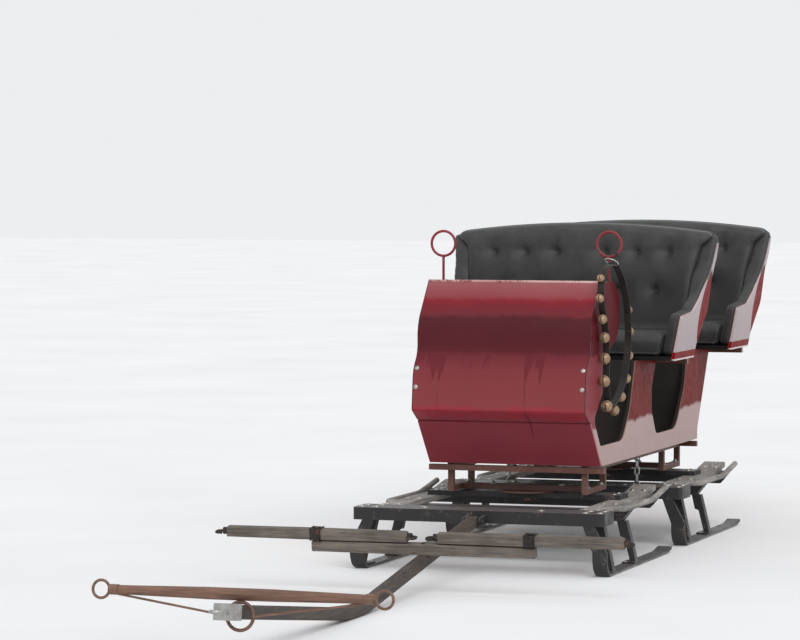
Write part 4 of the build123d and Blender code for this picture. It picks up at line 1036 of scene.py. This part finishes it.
def strapBells():
    strap = surfaceOf(nodes["bell_strap"])
    made, rivets, feet = [], [], []
    for part in looseParts("sleigh_bells"):
        middleX = (part[:, 0].max() + part[:, 0].min()) / 2
        radius = (part[:, 0].max() - part[:, 0].min()) / 2
        keep = part
        for _ in range(3):  # sphere through the points; those of the shank fall out
            system = np.column_stack([2 * keep, np.ones(len(keep))])
            centre = np.linalg.lstsq(system, (keep**2).sum(axis=1), rcond=None)[0][:3]
            away = np.abs(np.linalg.norm(part - centre, axis=1) - radius)
            keep = part[away < max(0.0004, np.percentile(away, 60))]
        centre = Vector((middleX, centre[1], centre[2]))
        near = strap.find_nearest(centre)[0]
        out = centre - near
        out = Vector((0, out.y, out.z)).normalized()
        turned = Matrix((leftward, out.cross(leftward), out)).transposed()
        points, faces = bellShell(radius)
        shell = outward(meshPiece("bell", [turned @ Vector(p) + centre for p in points], faces,
                                  materials["bellBrass"], None))
        wall = shell.modifiers.new("wall", "SOLIDIFY")
        wall.thickness = bell["wall"]
        wall.offset = -1.0
        applyModifiers(shell)
        made.append(shell)
        along = turned @ rearward
        for height, size in bell["seams"]:
            ring = [centre + out * radius * height + (along * math.sin(t) + leftward * math.cos(t))
                    * radius * size for t in np.linspace(0, 2 * math.pi, 36, endpoint=False)]
            made.append(sweptTube("seam", ring, bell["seam"], materials["bellBrass"], None, closed=True,
                                  sides=6))
        feet.append((centre - out * (radius + bell["footGap"]), -out, radius / bell["sized"]))
        rivets.append((near - out * bell["strapThick"], -out))
    with bpy.context.temp_override(active_object=made[0], selected_editable_objects=made, object=made[0]):
        bpy.ops.object.join()
    whole = made[0]
    whole.name = whole.data.name = "sleighBells"
    smoothed(whole)
    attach(whole, "sleigh")
    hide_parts("sleigh_bells")
    scatter("bellRivets", rivets, domeTree, bell["rivet"], materials["forgedIron"], "sleigh")
    scatter("bellShanks", feet, domeTree, bell["shank"], materials["bellBrass"], "sleigh")


strapBells()
# wire ring at the strap's head, tilted back and sideways
strapRing = {"tilt": (-32, 14), "halves": (0.029, 0.024), "wire": 0.0032, "inward": 0.008, "along": 0.634,
             "below": 0.042}
headLow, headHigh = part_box("bell_strap")
tilt, halves = strapRing["tilt"], strapRing["halves"]
headRing = Matrix.Rotation(math.radians(tilt[0]), 3, "X") @ Matrix.Rotation(math.radians(tilt[1]), 3, "Y")
headPlace = Vector(((headLow.x + headHigh.x) / 2 - strapRing["inward"], noseY + strapRing["along"],
                    headHigh.z - strapRing["below"]))
sweptTube("strapRing", [headPlace + headRing @ Vector((halves[0] * math.cos(t), halves[1] * math.sin(t), 0))
                        for t in np.linspace(0, 2 * math.pi, 40, endpoint=False)],
          strapRing["wire"], materials["zincPlate"], "sleigh", closed=True)
print("hung the bells")


def headOn(surface, x, y, above, scale=1.0):
    # a head where a line straight down from a height meets the surface, if it does
    point, normal = surface.ray_cast(Vector((x, y, above)), -upward)[:2]
    return [(point, normal, scale)] if point else []


# round bolt heads: for each node its places in x and from the bob's nose, a height above them, and their size
bolts = {
    "head": {"Head radius": 0.0085, "Head height": 0.0042, "Washer radius": 0.0115, "Washer depth": 0.0024},
    "bobs": {"front": ("front_bob", noseY), "rear": ("sleigh", noseY + 1.280)},
    "rows": [
        # two where each plank crosses a bar
        ("_bob_planks", [(x, y) for x in (0.395, 0.446) for y in (0.205, 0.480, 0.950)], 0.6, 1.1),
        # at the ends of the nose bar
        ("_bob_crossbars", [(0.440, 0.045), (0.440, 0.120), (0.500, 0.045), (0.500, 0.120), (0.245, 0.082)],
         0.6, 1.35),
        # through the feet of both legs
        ("_runner_", [(0.498, y) for y in (0.089, 0.151, 0.449, 0.511)], 0.10, 0.9),
        # the bolster's four corners
        ("_bolster", [(0.385, 0.685), (0.385, 0.755)], 0.6, 1.1),
    ],
    # screws through the dash wings into the curved sheet, at these heights
    "screws": (0.729, 0.806), "screwsAt": 0.355, "screwScale": 0.8,
}
domes = {"front_bob": [], "sleigh": []}
for name, (body, nose) in bolts["bobs"].items():
    for side, hand in ((-1, "right"), (1, "left")):
        for ending, places, above, scale in bolts["rows"]:
            surface = surfaceOf(nodes[name + ending + (hand if ending.endswith("_") else "")])
            for x, y in places:
                domes[body] += headOn(surface, side * x, nose + y, above, scale)
dash = surfaceOf(nodes["dash_panel"])
for z in bolts["screws"]:
    for side in (1, -1):
        point, normal = dash.ray_cast(Vector((side * bolts["screwsAt"], noseY - 0.4, z)), rearward)[:2]
        if point:
            domes["sleigh"].append((point, normal, bolts["screwScale"]))
for body, spots in domes.items():
    scatter(body + "Domes", spots, domeTree, bolts["head"], materials["zincPlate"], body)

# hexagon nuts where the cradles stand on the sill frame and on their bolsters
nut = {"size": {"Nut radius": 0.009, "Nut depth": 0.007}, "pivots": {"front": 0.720, "rear": 2.000},
       "places": ((0.290, -0.104), (0.290, 0.104), (0.150, 0.0)), "above": 0.34}
nuts = []
for name, pivot in nut["pivots"].items():
    cradle = surfaceOf(nodes[name + "_cradle"])
    for side in (-1, 1):
        for x, step in nut["places"]:
            nuts += headOn(cradle, side * x, noseY + pivot + step, nut["above"])
scatter("cradleNuts", nuts, hexTree, nut["size"], materials["zincPlate"], "sleigh")
print("bolted the bobs, dash and cradles")

# rolled bead over the dash sheet's upper edge, its pale rose a painted highlight
bead = {"radius": 0.0062, "inset": 0.002, "ahead": 0.003, "sunk": 0.001, "points": 12}
low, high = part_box("dash_panel")
dashTopY = max((v.co.y for v in nodes["dash_panel"].data.vertices if v.co.z > high.z - 0.004), default=high.y)
sweptTube("dashBead", [Vector((x, dashTopY - bead["ahead"], high.z - bead["sunk"]))
                       for x in np.linspace(low.x + bead["inset"], high.x - bead["inset"], bead["points"])],
          bead["radius"], materials["beadEnamel"], "sleigh", sides=12)


# iron on the hitch: bands on the evener and singletrees, with a clip over each pivot
irons = {
    "bars": {"evener": 0.0, "singletree_left": 0.430, "singletree_right": -0.430},
    "evenerEnds": 0.430, "clip": 0.021, "end": 0.011, "besideClip": 0.030, "proud": (0.0022, 0.0020),
    "edge": 0.0006, "edgeShare": 0.12,
}


def collar(name, body, centre, axes, halves, material):
    # iron band around a bar: a box with broken edges, given by its centre, three directions and half sizes
    work = bmesh.new()
    bmesh.ops.create_cube(work, size=2.0)
    for vertex in work.verts:
        vertex.co = centre + sum((axes[i] * vertex.co[i] * halves[i] for i in range(3)), Vector())
    bmesh.ops.bevel(work, geom=work.edges[:], offset=min(halves) * irons["edgeShare"] + irons["edge"],
                    segments=2, profile=0.6, affect="EDGES", clamp_overlap=True)
    mesh = bpy.data.meshes.new(name)
    work.to_mesh(mesh)
    work.free()
    piece = bpy.data.objects.new(name, mesh)
    scene.collection.objects.link(piece)
    mesh.materials.append(material)
    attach(piece, body)
    return outward(piece)


joints = {joint["name"]: joint for joint in frame["joints"]}
hitchUp = Vector(joints["evener_swing"]["axis"]).normalized()
hitchRear = leftward.cross(hitchUp).normalized()
for name, pivotX in irons["bars"].items():
    low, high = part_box(name)
    bar = surfaceOf(nodes[name])
    spots = [("Clip", pivotX, irons["clip"])]
    if name == "evener":
        spots += [("End", side * irons["evenerEnds"], irons["end"]) for side in (-1, 1)]
    for k, (label, x, halfWide) in enumerate(spots):
        # the bar's own top, bottom, rear and front at this place
        middle = (low + high) / 2
        middle.x = x + irons["besideClip"] * (label == "Clip")
        above, below, behind, ahead = (bar.ray_cast(middle + way * 0.2, -way)[0]
                                       for way in (hitchUp, -hitchUp, hitchRear, -hitchRear))
        if None in (above, below, ahead, behind):
            continue
        deep, tall = abs((behind - ahead).dot(hitchRear)) / 2, abs((above - below).dot(hitchUp)) / 2
        centre = leftward * x + hitchRear * (ahead + behind).dot(hitchRear) / 2
        centre += hitchUp * (above + below).dot(hitchUp) / 2
        halves = (halfWide, deep + irons["proud"][0], tall + irons["proud"][1])
        collar(f"{name}{label}{k}", name, centre, (leftward, hitchRear, hitchUp), halves,
               materials["forgedIron"])
print("ironed the hitch")
